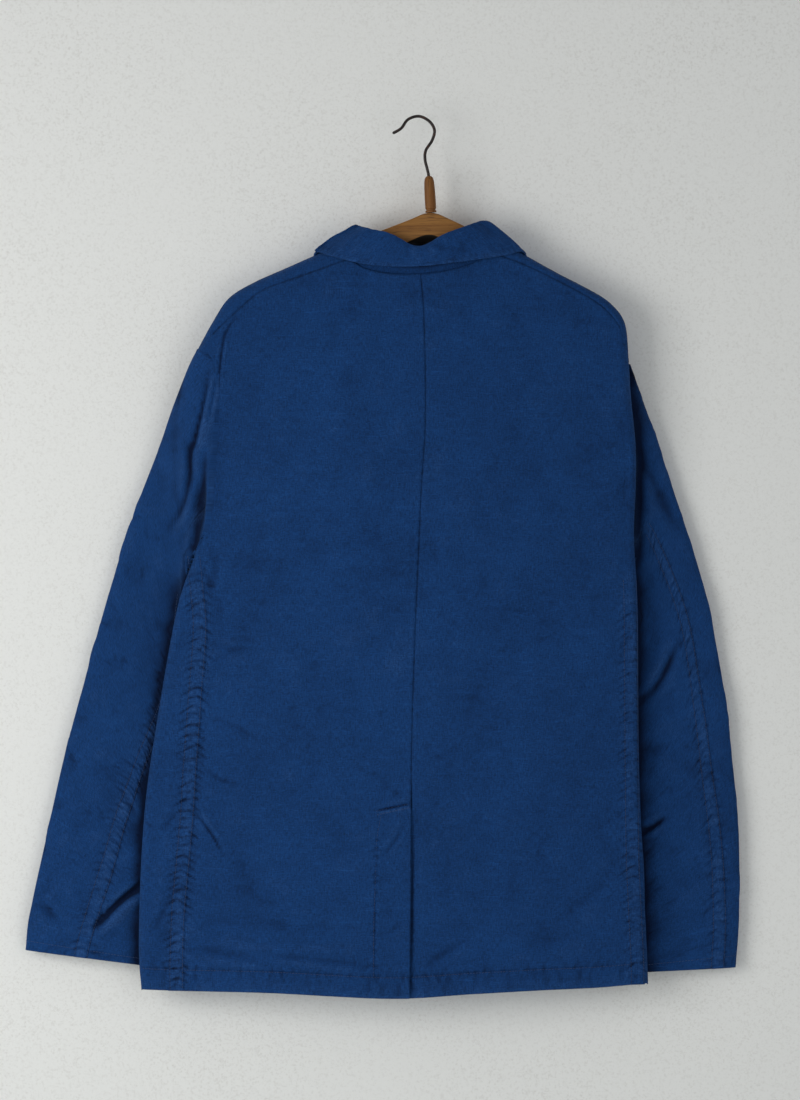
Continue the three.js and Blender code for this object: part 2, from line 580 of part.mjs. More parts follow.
const rightFold = [...RIGHT.fold, ...RIGHT.side.slice(1)];
const rightBeside = besideFold(rightFold, new THREE.Vector3(-1, 0, 0), 0);
const backRight = backPanel(RIGHT, rightBeside, ventSink);
backRight.patch(onBody(-1, rimRows(rightFold, rightBeside)), BACKWARDS);
backRight.patch(onBody(1, rimRows(RIGHT.fold, RIGHT.armBack)), FORWARDS);
const ventRows = centre.slice(COUNTS.armhole + COUNTS.ventRows);
const underlap = ventRows.map((p) => evenStops(COUNTS.underlap).map((t) => {
  const x = p.x - VENT.underlap * t;
  const slope = (hemAt(x).z - hemAt(p.x).z) * smooth((VENT.top - p.z) / HEM_LEVEL);
  return new THREE.Vector3(x, 0, p.z + slope);
}));
backRight.patch(onBody(-1, underlap, ventSink), BACKWARDS);

// ---------------------------------------------------------------- fronts
/** How far the right front is sunk, so that the left front can lap over it. */
function frontSink(p) {
  const near = smooth((FRONT_OVERLAP + LAP.start - p.x) / LAP.step);
  return LAYER * near * smooth((LAP.top - p.z) / LAP.fade);
}

/** The inner edge of a front: down the lapel's fold, then down to the hem. */
function frontEdge(half) {
  const underarm = half.fold[half.fold.length - 1].z;
  const start = half.ridgeBeside[0];
  const folds = LAPEL.map((row) => ({ drop: -row.z, x: half.sign * row.fold }));
  const bend = [{ drop: -start.z, x: start.x }, ...folds];
  const edgeX = -half.sign * FRONT_OVERLAP;
  const straight = STRAIGHT_EDGE.map((z) => ({ drop: -z, x: edgeX }));
  const xAt = (z) => tableValue([...bend, ...straight], 'drop', 'x', -z);
  const hemZ = hemAt(edgeX).z;
  const heights = [
    ...roundStops(COUNTS.armhole).map((t) => THREE.MathUtils.lerp(start.z, underarm, t)),
    ...SIDE_STOPS.slice(1).map((t) => THREE.MathUtils.lerp(underarm, hemZ, t)),
  ];
  return heights.map((z) => new THREE.Vector3(xAt(z), 0, z));
}

/** One front: its main face, the strips that carry it over the shoulder and round the side. */
function frontPanel(half, sunk) {
  const { ridgeBeside } = half;
  const sideBeside = besideFold(half.side, new THREE.Vector3(-half.sign, 0, 0), 0);
  const outer = [...half.armFront, ...sideBeside.slice(1)];
  const inner = frontEdge(half);
  const hem = hemBetween(inner[inner.length - 1].x, outer[outer.length - 1].x, lengthShares(half.ridge));
  hem[hem.length - 1] = outer[outer.length - 1];
  const cloth = new Cloth();
  cloth.patch(onBody(1, filled({ top: ridgeBeside, hem, inner, outer }), sunk), FORWARDS);
  cloth.patch(onBody(1, rimRows(half.ridge, ridgeBeside), sunk), FORWARDS);
  cloth.patch(onBody(-1, rimRows(half.ridge, half.seam)), BACKWARDS);
  cloth.patch(onBody(1, rimRows(half.side, sideBeside)), FORWARDS);
  if (half.sideSeam !== half.side) {
    cloth.patch(onBody(-1, rimRows(half.side, half.sideSeam)), BACKWARDS);
  }
  return cloth;
}

sew([
  { name: 'back_left', cloth: backLeft, finish: COLOURS.cloth },
  { name: 'back_right', cloth: backRight, finish: COLOURS.cloth },
  { name: 'front_left', cloth: frontPanel(LEFT), finish: COLOURS.cloth },
  { name: 'front_right', cloth: frontPanel(RIGHT, frontSink), finish: COLOURS.cloth },
]);

const LAPEL_SPRING = 2.2; // how far the lapels' edges stand up from the fronts
const lapelSteps = LAPEL.map((row, step) => ({ ...row, step }));

/** A lapel lying on its front, from the fold out to its edge. */
function lapel(sign, sunk) {
  const rows = evenStops(COUNTS.lapelRows).map((t) => {
    const read = (key) => tableValue(lapelSteps, 'step', key, t * (LAPEL.length - 1));
    return evenStops(COUNTS.lapelColumns).map((u) => {
      const x = sign * THREE.MathUtils.lerp(read('fold') + SEAM_GAP, read('edge'), u);
      const p = new THREE.Vector3(x, 0, THREE.MathUtils.lerp(read('z'), read('edgeZ'), u));
      const lying = bodyPoint(1, p, sunk?.(p));
      lying.y += LAYER + LAPEL_SPRING * Math.sin((Math.PI / 2) * u);
      return lying;
    });
  });
  return new Cloth().patch(rows, FORWARDS);
}

sew([{ name: 'lapel_left', cloth: lapel(-1), finish: COLOURS.facing }]);
sew([{ name: 'lapel_right', cloth: lapel(1, frontSink), finish: COLOURS.facing }]);

// ---------------------------------------------------------------- sleeves
/** One sleeve: its rings, with the armhole's own corners as the first of them. */
class Sleeve {
  constructor(table, half, side) {
    this.table = table.map((row, step) => ({ ...row, step }));
    this.mouth = [
      ...half.armBack.map((p) => bodyPoint(side, p)),
      ...half.armFront.slice(1, -1).reverse().map((p) => bodyPoint(1, p)),
    ];
    const behind = side > 0 ? MOUTH_SHIFT : 0;
    this.mouth.forEach((p) => p.add(new THREE.Vector3(half.sign * MOUTH_SHIFT, behind, 0)));
    this.turns = this.mouth.length;
  }

  /** A point of the sleeve: step counts rings, turn goes from 0 to 1 outer, back, inner, front. */
  point(step, turn) {
    const read = (key) => tableValue(this.table, 'step', key, step);
    const outer = new THREE.Vector3(read('ox'), 0, read('oz'));
    const inner = new THREE.Vector3(read('ix'), 0, read('iz'));
    const cos = Math.cos(2 * Math.PI * turn);
    const sin = Math.sin(2 * Math.PI * turn);
    const across = (1 - Math.sign(cos) * Math.abs(cos) ** SLEEVE_BLUNTNESS) / 2;
    const p = outer.lerp(inner, across);
    p.y = read('y') - read('half') * Math.sign(sin) * Math.abs(sin) ** SLEEVE_BLUNTNESS;
    return p;
  }

  /** How far round the seam on the back lies at a ring. */
  seamTurn(step) {
    const across = 1 - 2 * tableValue(this.table, 'step', 'seam', step);
    return Math.acos(Math.sign(across) * Math.abs(across) ** (1 / SLEEVE_BLUNTNESS)) / (2 * Math.PI);
  }

  /** Rows of one piece between two of the mouth's corners, from the mouth to the cuff. */
  rows(fromCorner, toCorner, turnsAt) {
    const mouth = [];
    for (let i = fromCorner; i <= toCorner; i += 1) mouth.push(this.mouth[(i + this.turns) % this.turns]);
    const rows = [mouth];
    for (let step = 1; step < this.table.length; step += 1) {
      const [from, to] = turnsAt(step);
      rows.push(mouth.map((_, i) => {
        const own = (fromCorner + i) / this.turns;
        const even = THREE.MathUtils.lerp(from, to, i / (mouth.length - 1));
        return this.point(step, THREE.MathUtils.lerp(own, even, Math.min(step / SLEEVE_SETTLE, 1)));
      }));
    }
    return rows;
  }
}

/** Adds a sleeve's top and under pieces. */
function addSleeve(name, table, half, side) {
  const sleeve = new Sleeve(table, half, side);
  const seamCorner = Math.round(sleeve.seamTurn(0) * sleeve.turns);
  const front = 0.5 + (1 - HIDDEN_SEAM) / 2;
  const frontCorner = Math.round(front * sleeve.turns) + 1;
  const settled = (step) => Math.min(step / SLEEVE_SETTLE, 1);
  const blend = (step, corner, turn) => THREE.MathUtils.lerp(corner / sleeve.turns, turn, settled(step));
  const top = sleeve.rows(frontCorner - sleeve.turns, seamCorner, (step) => [
    blend(step, frontCorner - sleeve.turns, front - 1 + SEAM_LEAN),
    blend(step, seamCorner, sleeve.seamTurn(step)),
  ]);
  const under = sleeve.rows(seamCorner, frontCorner, (step) => [
    blend(step, seamCorner, sleeve.seamTurn(step)),
    blend(step, frontCorner, front + SEAM_LEAN),
  ]);
  const outwards = new THREE.Vector3(half.sign, 0, 0);
  const inwards = outwards.clone().negate();
  sew([
    { name: `${name}_top`, cloth: new Cloth().patch(top, outwards), finish: COLOURS.cloth },
    { name: `${name}_under`, cloth: new Cloth().patch(under, inwards), finish: COLOURS.cloth },
  ]);
}

addSleeve('sleeve_left', SLEEVE_LEFT, LEFT, -1);
addSleeve('sleeve_right', SLEEVE_RIGHT, RIGHT, 1);

// ---------------------------------------------------------------- collar
/** The smooth curve of the collar's roll line (r) or of the fall's edge (f). */
function collarCurve(line) {
  const points = COLLAR.map((row) => new THREE.Vector3(row[`${line}x`], row[`${line}y`], row[`${line}z`]));
  return new THREE.CatmullRomCurve3(points, false, 'centripetal');
}

/** A polyline with points put into its long spans. */
function divided(points, step) {
  return points.flatMap((p, i) => {
    if (i === 0) return [p];
    const before = points[i - 1];
    const parts = Math.ceil(before.distanceTo(p) / step);
    return evenStops(parts).slice(1).map((t) => before.clone().lerp(p, t));
  });
}

/** The neck seam of one half, from the front end to the middle: points with their collar share. */
function neckSeam(half) {
  const edge = frontEdge(half).slice(1, COLLAR_FRONT_CORNERS).reverse();
  const sink = half.sign > 0 ? frontSink : undefined;
  const overFront = rimRows(half.ridge, half.ridgeBeside).map((row) => row[0]).reverse();
  const overBack = rimRows(half.ridge, half.seam).map((row) => row[0]);
  const front = divided([...edge, ...overFront].map((p) => bodyPoint(1, p, sink?.(p))), COLLAR_STEP);
  const back = overBack.map((p) => bodyPoint(-1, p));
  const neck = divided(half.neck.map((p) => bodyPoint(-1, p)).reverse(), COLLAR_STEP);
  const withShares = (points, from, to) => lengthShares(points).map((t, i) => (
    { point: points[i], share: THREE.MathUtils.lerp(from, to, t) }
  ));
  return [
    ...withShares(front, 0, COLLAR_RIDGE),
    ...withShares(back, COLLAR_RIDGE, COLLAR_SEAM).slice(1),
    ...withShares(neck, COLLAR_SEAM, 0.5).slice(1),
  ];
}

/** Rows of the collar's stand and fall, column by column round the neck. */
function collarRows() {
  const roll = collarCurve('r');
  const edge = collarCurve('f');
  const right = neckSeam(RIGHT).map(({ point, share }) => ({ point, share: 1 - share }));
  const stations = [...neckSeam(LEFT), ...right.reverse().slice(1)];
  const stand = [[], [], []];
  const fall = [[], [], [], [], []];
  for (const { point, share } of stations) {
    const r = roll.getPoint(share);
    const f = edge.getPoint(share);
    const down = point.clone().sub(r).normalize();
    const standTop = r.clone().addScaledVector(down, COLLAR_TURN);
    stand.forEach((row, i) => row.push(standTop.clone().lerp(point, (STAND_REACH * i) / 2)));
    const out = f.clone().sub(point);
    out.addScaledVector(down, -out.dot(down)).normalize();
    const turn = r.clone().addScaledVector(out, COLLAR_TURN).addScaledVector(down, ROLL_DROP);
    fall[0].push(r);
    evenStops(fall.length - 2).forEach((step, i) => fall[i + 1].push(turn.clone().lerp(f, step)));
  }
  return { stand, fall };
}

const collar = collarRows();
sew([{ name: 'collar_stand', cloth: new Cloth().patch(collar.stand, BACKWARDS), finish: COLOURS.cloth }]);
sew([{ name: 'collar_fall', cloth: new Cloth().patch(collar.fall, BACKWARDS), finish: COLOURS.cloth }]);

// ---------------------------------------------------------------- buttons
/** A round button with two sewing holes, lying on the left front. */
function button(height) {
  const disc = new THREE.Shape().absarc(0, 0, BUTTONS.radius, 0, 2 * Math.PI);
  for (const x of [-BUTTONS.holeAt, BUTTONS.holeAt]) {
    disc.holes.push(new THREE.Path().absarc(x, 0, BUTTONS.holeRadius, 0, 2 * Math.PI, true));
  }
  const geometry = new THREE.ExtrudeGeometry(disc, {
    depth: BUTTONS.thick, bevelEnabled: false, curveSegments: BUTTONS.sides / 2,
  });
  geometry.rotateX(Math.PI / 2);
  const seat = bodyPoint(1, new THREE.Vector3(0, 0, height));
  geometry.translate(0, seat.y + BUTTONS.thick + 2 * SEAM_GAP, height);
  return geometry;
}

for (let i = 0; i < BUTTONS.count; i += 1) {
  add(`button_${i + 1}`, button(BUTTONS.first - i * BUTTONS.pitch), COLOURS.button);
}

// ---------------------------------------------------------------- hanger
/** The bar: rounded sections strung along the arms. */
function hangerBar() {
  const rings = ARMS.map((row, i) => {
    const end = i === 0 || i === ARMS.length - 1;
    const half = end ? ARM_END_HALF : ARM_HALF;
    const side = [
      { y: half - ARM_CHAMFER, drop: row.deep }, { y: half, drop: row.deep - ARM_CHAMFER },
      ...ARM_TOP.map(({ out, drop }) => ({ y: half * out, drop })),
    ];
    const otherSide = side.map(({ y, drop }) => ({ y: -y, drop }));
    const outline = [...otherSide, ...side.reverse()];
    return outline.map(({ y, drop }) => new THREE.Vector3(row.x, y, row.z - drop));
  });
  const sides = rings[0].length;
  const index = [];
  for (let j = 1; j < rings.length; j += 1) {
    for (let i = 0; i < sides; i += 1) {
      const next = (i + 1) % sides;
      const [a, b, c, d] = [(j - 1) * sides + i, (j - 1) * sides + next, j * sides + next, j * sides + i];
      index.push(a, c, b, a, d, c);
    }
  }
  const last = (rings.length - 1) * sides;
  for (let i = 1; i < sides - 1; i += 1) index.push(0, i, i + 1, last, last + i + 1, last + i);
  const geometry = new THREE.BufferGeometry().setFromPoints(rings.flat());
  geometry.setIndex(index);
  return geometry;
}

add('hanger_bar', hangerBar(), COLOURS.wood);

const neckProfile = NECK_PIECE.map(({ r, z }) => new THREE.Vector2(r, z - NECK_PIECE[0].z));
const neckPiece = new THREE.LatheGeometry(neckProfile, NECK_SIDES);
neckPiece.rotateX(Math.PI / 2);
neckPiece.rotateY(-NECK_TILT);
neckPiece.translate(NECK_FOOT_X, 0, NECK_PIECE[0].z + SEAM_GAP);
add('hanger_neck', neckPiece, COLOURS.turnedWood);

const hookCurve = new THREE.CatmullRomCurve3(
  HOOK_PATH.map(({ x, z }) => new THREE.Vector3(x, 0, z)), false, 'centripetal',
);
const wireEnd = new THREE.Shape();
for (let i = 0; i < WIRE.sides; i += 1) {
  const angle = (2 * Math.PI * i) / WIRE.sides;
  const move = i ? 'lineTo' : 'moveTo';
  wireEnd[move](WIRE.radius * Math.cos(angle), WIRE.radius * Math.sin(angle));
}
const hook = new THREE.ExtrudeGeometry(wireEnd, { steps: WIRE.steps, extrudePath: hookCurve });
add('hanger_hook', hook, COLOURS.wire);

export default group;
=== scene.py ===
"""A washed cotton and linen work blazer on a wooden hanger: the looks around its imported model.

Tables are in millimetres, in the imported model's frame: the back of the blazer faces -Y, the
wearer's left is at -X, and the origin is where the hook bears on its nail. The tables of outlines
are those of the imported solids. Meshes are in metres.
"""

import logging
import math
from collections.abc import Callable, Sequence
from dataclasses import dataclass, field
from enum import Enum

import bpy
import numpy as np
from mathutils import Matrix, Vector


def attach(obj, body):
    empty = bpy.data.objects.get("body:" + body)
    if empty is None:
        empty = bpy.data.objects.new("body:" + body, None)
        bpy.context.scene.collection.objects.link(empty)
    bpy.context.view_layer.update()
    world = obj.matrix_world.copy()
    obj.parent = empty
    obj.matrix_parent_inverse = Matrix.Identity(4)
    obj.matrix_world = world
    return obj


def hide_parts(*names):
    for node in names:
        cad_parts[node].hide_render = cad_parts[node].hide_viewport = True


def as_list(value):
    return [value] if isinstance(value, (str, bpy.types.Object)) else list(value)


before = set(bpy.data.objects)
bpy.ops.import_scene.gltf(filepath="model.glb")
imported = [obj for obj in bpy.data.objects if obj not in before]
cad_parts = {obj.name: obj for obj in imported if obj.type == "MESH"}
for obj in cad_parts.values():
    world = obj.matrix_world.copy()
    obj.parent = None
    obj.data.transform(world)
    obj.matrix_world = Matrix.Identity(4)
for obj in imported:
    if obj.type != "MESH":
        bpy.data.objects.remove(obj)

log = logging.getLogger("blazer")
Array = np.ndarray
Pair = tuple[Array, Array]
Rows = Sequence[Sequence[float]]
Colour = tuple[float, float, float, float]
Piece = bpy.types.Object
Material = bpy.types.Material
Node = bpy.types.Node
Socket = bpy.types.NodeSocket

MM = 0.001
BODY = "root"


# ---- numbers and curves
def smooth(t: Array) -> Array:
    """Eases 0 to 1."""
    t = np.clip(t, 0.0, 1.0)
    return t * t * (3.0 - 2.0 * t)


def unit(v: Array) -> Array:
    """Vectors scaled to length 1."""
    return v / np.maximum(np.linalg.norm(v, axis=-1, keepdims=True), 1e-12)


def mix(a: Array, b: Array, t: Array) -> Array:
    """Goes from a to b as t goes from 0 to 1."""
    return a + (b - a) * t


def even(count: int) -> Array:
    """count + 1 even stops from 0 to 1."""
    return np.linspace(0.0, 1.0, count + 1)


def lengths(points: Array) -> Array:
    """Length of a polyline up to each of its points."""
    return np.concatenate([[0.0], np.cumsum(np.linalg.norm(np.diff(points, axis=0), axis=1))])


def shares(points: Array) -> Array:
    """Share of a polyline's length at each of its points."""
    sums = lengths(points)
    return sums / sums[-1]


def between(at: Array, keys: Array, points: Array) -> Array:
    """Points read in straight lines between their rising keys."""
    return np.stack([np.interp(at, keys, column) for column in np.asarray(points).T], -1)


def table_value(keys: Sequence[float], values: Sequence[float], at: Array) -> Array:
    """A column read at given keys, joined by smooth hermite spans.

    Args:
        keys: the rising keys of the rows.
        values: the column.
        at: the keys to read.

    Returns:
        The column's values there.
    """
    keys, values, at = np.asarray(keys, float), np.asarray(values, float), np.asarray(at, float)
    last = len(keys) - 1
    low, high = np.maximum(np.arange(last + 1) - 1, 0), np.minimum(np.arange(last + 1) + 1, last)
    slope = (values[high] - values[low]) / (keys[high] - keys[low])
    i = np.clip(np.searchsorted(keys, at) - 1, 0, last - 1)
    span = keys[i + 1] - keys[i]
    t = np.clip((at - keys[i]) / span, 0.0, 1.0)
    s = smooth(t)
    bend = t * (1 - t) * span * (slope[i] * (1 - t) - slope[i + 1] * t)
    return values[i] * (1 - s) + values[i + 1] * s + bend


class Curve:
    """A smooth curve through the rows of a table, in two or three dimensions."""

    SPAN = 10

    def __init__(self, rows: Rows) -> None:
        """Joins the rows smoothly.

        Args:
            rows: the points that the curve passes through.
        """
        knots = np.asarray(rows, float)
        ends = [2 * knots[0] - knots[1], *knots, 2 * knots[-1] - knots[-2]]
        dense = [knots[:1]]
        t = even(self.SPAN)[1:, None]
        for p0, p1, p2, p3 in zip(ends, ends[1:], ends[2:], ends[3:]):
            steps = (p1 - p0, p2 - p1, p3 - p2)
            d0, d1, d2 = (max(np.linalg.norm(step) ** 0.5, 1e-6) for step in steps)
            m1 = ((p1 - p0) / d0 - (p2 - p0) / (d0 + d1) + (p2 - p1) / d1) * d1
            m2 = ((p2 - p1) / d1 - (p3 - p1) / (d1 + d2) + (p3 - p2) / d2) * d1
            dense.append(
                p1 + m1 * t
                + (3 * (p2 - p1) - 2 * m1 - m2) * t**2
                + (2 * (p1 - p2) + m1 + m2) * t**3
            )
        self.dense = np.concatenate(dense)
        self.share = shares(self.dense)
        self.length = float(lengths(self.dense)[-1])

    def at(self, t: Array) -> Array:
        """Points at shares of the curve's length."""
        return between(t, self.share, self.dense)

    def at_rows(self, t: Array) -> Array:
        """Points at shares of the number of rows."""
        return between(t, even(len(self.dense) - 1), self.dense)

    def nearest(self, plan: Array, reach: float | None = None) -> tuple[Array, Array, Array]:
        """Where points lie beside a curve of the plan.

        Args:
            plan: points (..., 2).
            reach: points farther than this from the curve's box are only marked as far.

        Returns:
            Their distance, the length along the curve where they are nearest, and the side.
        """
        if reach is not None:
            low, high = self.dense.min(0) - reach, self.dense.max(0) + reach
            close = ((plan > low) & (plan < high)).all(-1)
            results = tuple(np.full(plan.shape[:-1], v) for v in (1e4, 0.0, 1.0))
            for result, found in zip(results, self.nearest(plan[close])):
                result[close] = found
            return results
        flat = plan.reshape(-1, 2)
        a, b = self.dense[:-1], self.dense[1:]
        run = b - a
        size = np.maximum((run**2).sum(1), 1e-12)
        distance, along, side = (np.empty(len(flat)) for _ in range(3))
        for start in range(0, len(flat), 4096):
            part = slice(start, start + 4096)
            off = flat[part, None] - a
            t = np.clip((off * run).sum(2) / size, 0, 1)
            gap = off - t[..., None] * run
            reach = np.linalg.norm(gap, axis=2)
            best = reach.argmin(1)
            rows = np.arange(len(best))
            distance[part] = reach[rows, best]
            along[part] = mix(self.share[best], self.share[best + 1], t[rows, best]) * self.length
            cross = run[best, 0] * gap[rows, best, 1] - run[best, 1] * gap[rows, best, 0]
            side[part] = np.sign(cross)
        return tuple(v.reshape(plan.shape[:-1]) for v in (distance, along, side))


def filled(top: Array, hem: Array, inner: Array, outer: Array) -> Array:
    """Points that fill the space between four edges of the plan (a Coons patch).

    Args:
        top: the upper edge, from the inner end to the outer one.
        hem: the lower edge, in step with top.
        inner: the inner edge, from top to hem.
        outer: the outer edge, in step with inner.

    Returns:
        The points (rows, columns, 2).
    """
    u = ((shares(top) + shares(hem)) / 2)[None, :, None]
    v = ((shares(inner) + shares(outer)) / 2)[:, None, None]
    across = top[None] * (1 - v) + hem[None] * v
    down = inner[:, None] * (1 - u) + outer[:, None] * u
    corners = (top[0] * (1 - u) + top[-1] * u) * (1 - v) + (hem[0] * (1 - u) + hem[-1] * u) * v
    return across + down - corners


# ---- the blazer's tables
RIDGE_LEFT = [(-74, -124.5), (-103, -137), (-138, -152.5), (-166, -165), (-190, -180), (-205, -202),
              (-221, -231)]
RIDGE_RIGHT = [(72, -120), (105.5, -137), (136, -154), (169, -171), (190, -184), (205, -203),
               (210, -246)]
SHOULDER_LEFT = [(-71, -141), (-92, -149), (-124, -160.5), (-157, -173), (-188, -199), (-206, -216),
                 (-221, -231)]
SHOULDER_RIGHT = [(71, -134), (101, -144.8), (131, -158.4), (163, -175), (184, -189), (200, -208),
                  (210, -246)]
SIDE_LEFT = [(-225, -438), (-231, -455), (-240, -483), (-248, -521), (-261, -597), (-271, -662),
             (-276, -713), (-279.5, -785), (-280, -840), (-277.5, -871)]
SIDE_RIGHT = [(216, -440), (217.5, -463), (219, -502), (219, -560), (220, -643), (222, -705),
              (225, -750), (226, -790), (228.5, -844), (229, -865)]
FOLD_LEFT = [(-221, -231), (-232, -262), (-236, -310), (-235, -370), (-225, -438)]
FOLD_RIGHT = [(210, -246), (212, -278), (216.5, -325), (217, -363), (215, -415), (216, -440)]
ARM_LEFT_BACK = [(-221, -231), (-208.5, -240), (-202.5, -258), (-202, -282), (-204.5, -310),
                 (-208, -343), (-211, -378), (-214.5, -412), (-225, -438)]
ARM_LEFT_FRONT = [(-221, -231), (-204, -262), (-194, -310), (-196, -370), (-208, -415),
                  (-225, -438)]
ARM_RIGHT_BACK = [(210, -246), (203, -272), (206, -325), (206, -370), (207, -415), (216, -440)]
ARM_RIGHT_FRONT = [(210, -246), (192, -278), (180, -325), (180, -370), (192, -415), (216, -440)]
SIDE_SEAM_LEFT = [(-225, -438), (-223, -462), (-219, -507), (-224, -584), (-229, -650),
                  (-232, -700), (-240, -788), (-242, -845), (-242, -872)]
NECK_LEFT = [(2, -157), (-28, -156.5), (-54, -151), (-71, -141)]
NECK_RIGHT = [(2, -157), (30, -153), (55, -145), (71, -134)]
CENTRE_BACK = [(2, -157), (5, -195), (6.6, -301), (2, -382), (-6, -582), (-8, -690), (-8.5, -790),
               (-9.5, -879)]
HEM = [(-277.5, -871), (-242, -872), (-149, -873.6), (-89, -876.7), (-43, -879), (-9.5, -879),
       (50, -875), (121, -871.4), (180, -869), (229, -865)]
VENT_TOP = -690
VENT_UNDERLAP = 34
LAPEL = [(52, -210, 96, -234), (45, -228, 94, -240), (38, -250, 79, -262), (28, -284, 54, -292),
         (15, -328, 20, -333)]
FRONT_OVERLAP = 18
STRAIGHT_EDGE = (-356, -600, -900)
LAYER = 2.1
BAND_REACH = 9.0
BUTTON_HEIGHTS = (-352, -457, -562)

# Sleeve rings: outer end x and z, inner end x and z, depth of the middle, half thickness, seam.
SLEEVE_LEFT = [
    (-221, -231, -225, -438, 0, 10, 0.75), (-233, -255, -229, -447, 3.5, 9.5, 0.77),
    (-247, -290, -233, -470, 11, 9, 0.8), (-262, -333, -235, -505, 17.5, 8.5, 0.82),
    (-279, -377, -236, -543, 21, 8, 0.82), (-297, -430, -237, -589, 22.5, 8, 0.8),
    (-314, -485, -239, -634, 23.5, 8, 0.74), (-335, -561, -242, -690, 24, 8, 0.62),
    (-355, -635, -244, -742, 24, 8, 0.54), (-373, -715, -247, -790, 24, 8.5, 0.47),
    (-391, -799, -249, -832, 24, 9, 0.41), (-395, -833.5, -250, -852, 24, 9, 0.38),
]
SLEEVE_RIGHT = [
    (210, -246, 216, -440, 9.5, 3, 0.72), (219, -268, 212, -458, 15.5, 6, 0.66),
    (229, -295, 209, -484, 20, 7.5, 0.54), (241, -328, 207, -516, 22.5, 8, 0.42),
    (256, -374, 204, -552, 24, 8, 0.32), (274, -428, 200, -596, 24.5, 8, 0.25),
    (289, -481, 196, -640, 25, 8, 0.215), (304.5, -561, 189, -696, 25, 8, 0.21),
    (314, -636, 184, -748, 25, 8, 0.19), (321, -716, 179, -796, 25, 8.5, 0.16),
    (321.5, -800, 174, -838, 25, 9, 0.135), (318, -851, 172, -858, 25, 9, 0.125),
]

# Collar stations: the roll line, then the fall's edge.
COLLAR = [
    (-50, 20.5, -190, -107, 20, -207), (-54, 18.5, -166, -113, 19, -184),
    (-58, 14, -140, -112, 15, -162), (-60, 7.5, -116, -107, 8.5, -141.5),
    (-60, -1, -110, -103, -1, -133.6), (-48, -10, -113, -88, -13.5, -138.5),
    (-23, -17, -119, -50, -20.5, -147.5), (0, -19, -129.5, -4, -23, -149.5),
    (23, -17, -119, 40, -20.5, -145), (50, -10, -108.5, 85, -13.5, -138),
    (65, -1, -105.5, 105, -1, -133.8), (64, 7.5, -112, 109, 8.5, -142),
    (59, 14, -138, 114, 15, -163), (54, 18.5, -165, 114, 19, -185), (50, 20.5, -189, 108, 20, -208),
]
COLLAR_RIDGE, COLLAR_SEAM = 4 / 14, 5 / 14


# ---- folds, ripples and puckers
class Relief:
    """Something that shapes the cloth: heights are outwards; its shades are painted shade in
    creases below 0 and painted highlight on ridges above 0.
    """

    def press(self, plan: Array) -> Pair:
        """How far the cloth stands out at points of the plan, and the painted shade or painted
        highlight there.
        """
        raise NotImplementedError


@dataclass(frozen=True)
class Fold(Relief):
    """A soft trough along a path, with a swell beside it."""

    path: Rows
    half: float
    depth: float
    power: float = 2.0
    swell: float = 0.35
    lean: float = 0.0
    skew: float = 0.0
    dark: float = 1.0

    def press(self, plan: Array) -> Pair:
        """The trough, fading at both ends.

        Args:
            plan: points of the plan (..., 2).

        Returns:
            The heights and the shades.
        """
        line = Curve(self.path)
        distance, along, side = line.nearest(plan, self.half * 4)
        t = along / line.length
        d = np.minimum(distance / (self.half * (1 + self.skew * side)), 30)
        beyond = np.exp(-((d - 1.6) ** 2)) * (1 + self.lean * side)
        ends = np.sin(np.pi * np.clip(t, 0.0, 1.0)) ** 0.7
        trough = np.exp(-(d**self.power))
        strength = self.dark * min(1.0, 1.5 * self.depth / self.half)
        # Painted shade in the trough and painted highlight on the swell beside it.
        shade = strength * ends * (self.swell * 0.8 * beyond - np.exp(-((1.35 * d) ** self.power)))
        return self.depth * ends * (self.swell * beyond - trough), shade


@dataclass(frozen=True)
class Ripples(Relief):
    """Irregular low waves of washed cloth, the same each time."""

    seed: int
    shortest: float
    longest: float
    size: float
    count: int = 36
    slant: float = 0.0
    spread: float = math.pi / 2
    dark: float = 0.1

    def press(self, plan: Array) -> Pair:
        """A sum of plane waves, each in its own direction.

        Args:
            plan: points of the plan (..., 2).

        Returns:
            The heights and the shades.
        """
        draw = np.random.default_rng(self.seed)
        total = np.zeros(plan.shape[:-1])
        power = 0.0
        for _ in range(self.count):
            wave = self.shortest * (self.longest / self.shortest) ** draw.random()
            turn = self.slant + self.spread * (2 * draw.random() - 1)
            push = wave / self.longest
            phase = 2 * np.pi * draw.random()
            step = plan[..., 0] * np.cos(turn) + plan[..., 1] * np.sin(turn)
            total += push * np.sin(2 * np.pi * step / wave + phase)
            power += push**2 / 2
        total /= math.sqrt(power)
        # The shades are painted shading that follows the waves: darker in their troughs, lighter on
        # their crests.
        return self.size * total, self.dark * total


@dataclass(frozen=True)
class Crumples(Relief):
    """Sharp short creases of cloth dried in a heap, where a seed's waves cross zero."""

    seed: int
    longest: float
    size: float
    sharp: float = 0.35
    dark: float = 0.5

    def press(self, plan: Array) -> Pair:
        """Thin valleys along the level lines of a wave field, broken up by another.

        Args:
            plan: points of the plan (..., 2).

        Returns:
            The heights and the shades.
        """
        field_a, _ = Ripples(self.seed, self.longest * 0.3, self.longest, 1.0).press(plan)
        wide = Ripples(self.seed + 100, self.longest * 0.5, self.longest * 1.6, 1.0)
        field_b, _ = wide.press(plan)
        valley = np.exp(-((field_a / self.sharp) ** 2)) * smooth(field_b * 1.2 - 0.1)
        # Painted shade in the creases.
        return -self.size * valley, -self.dark * valley


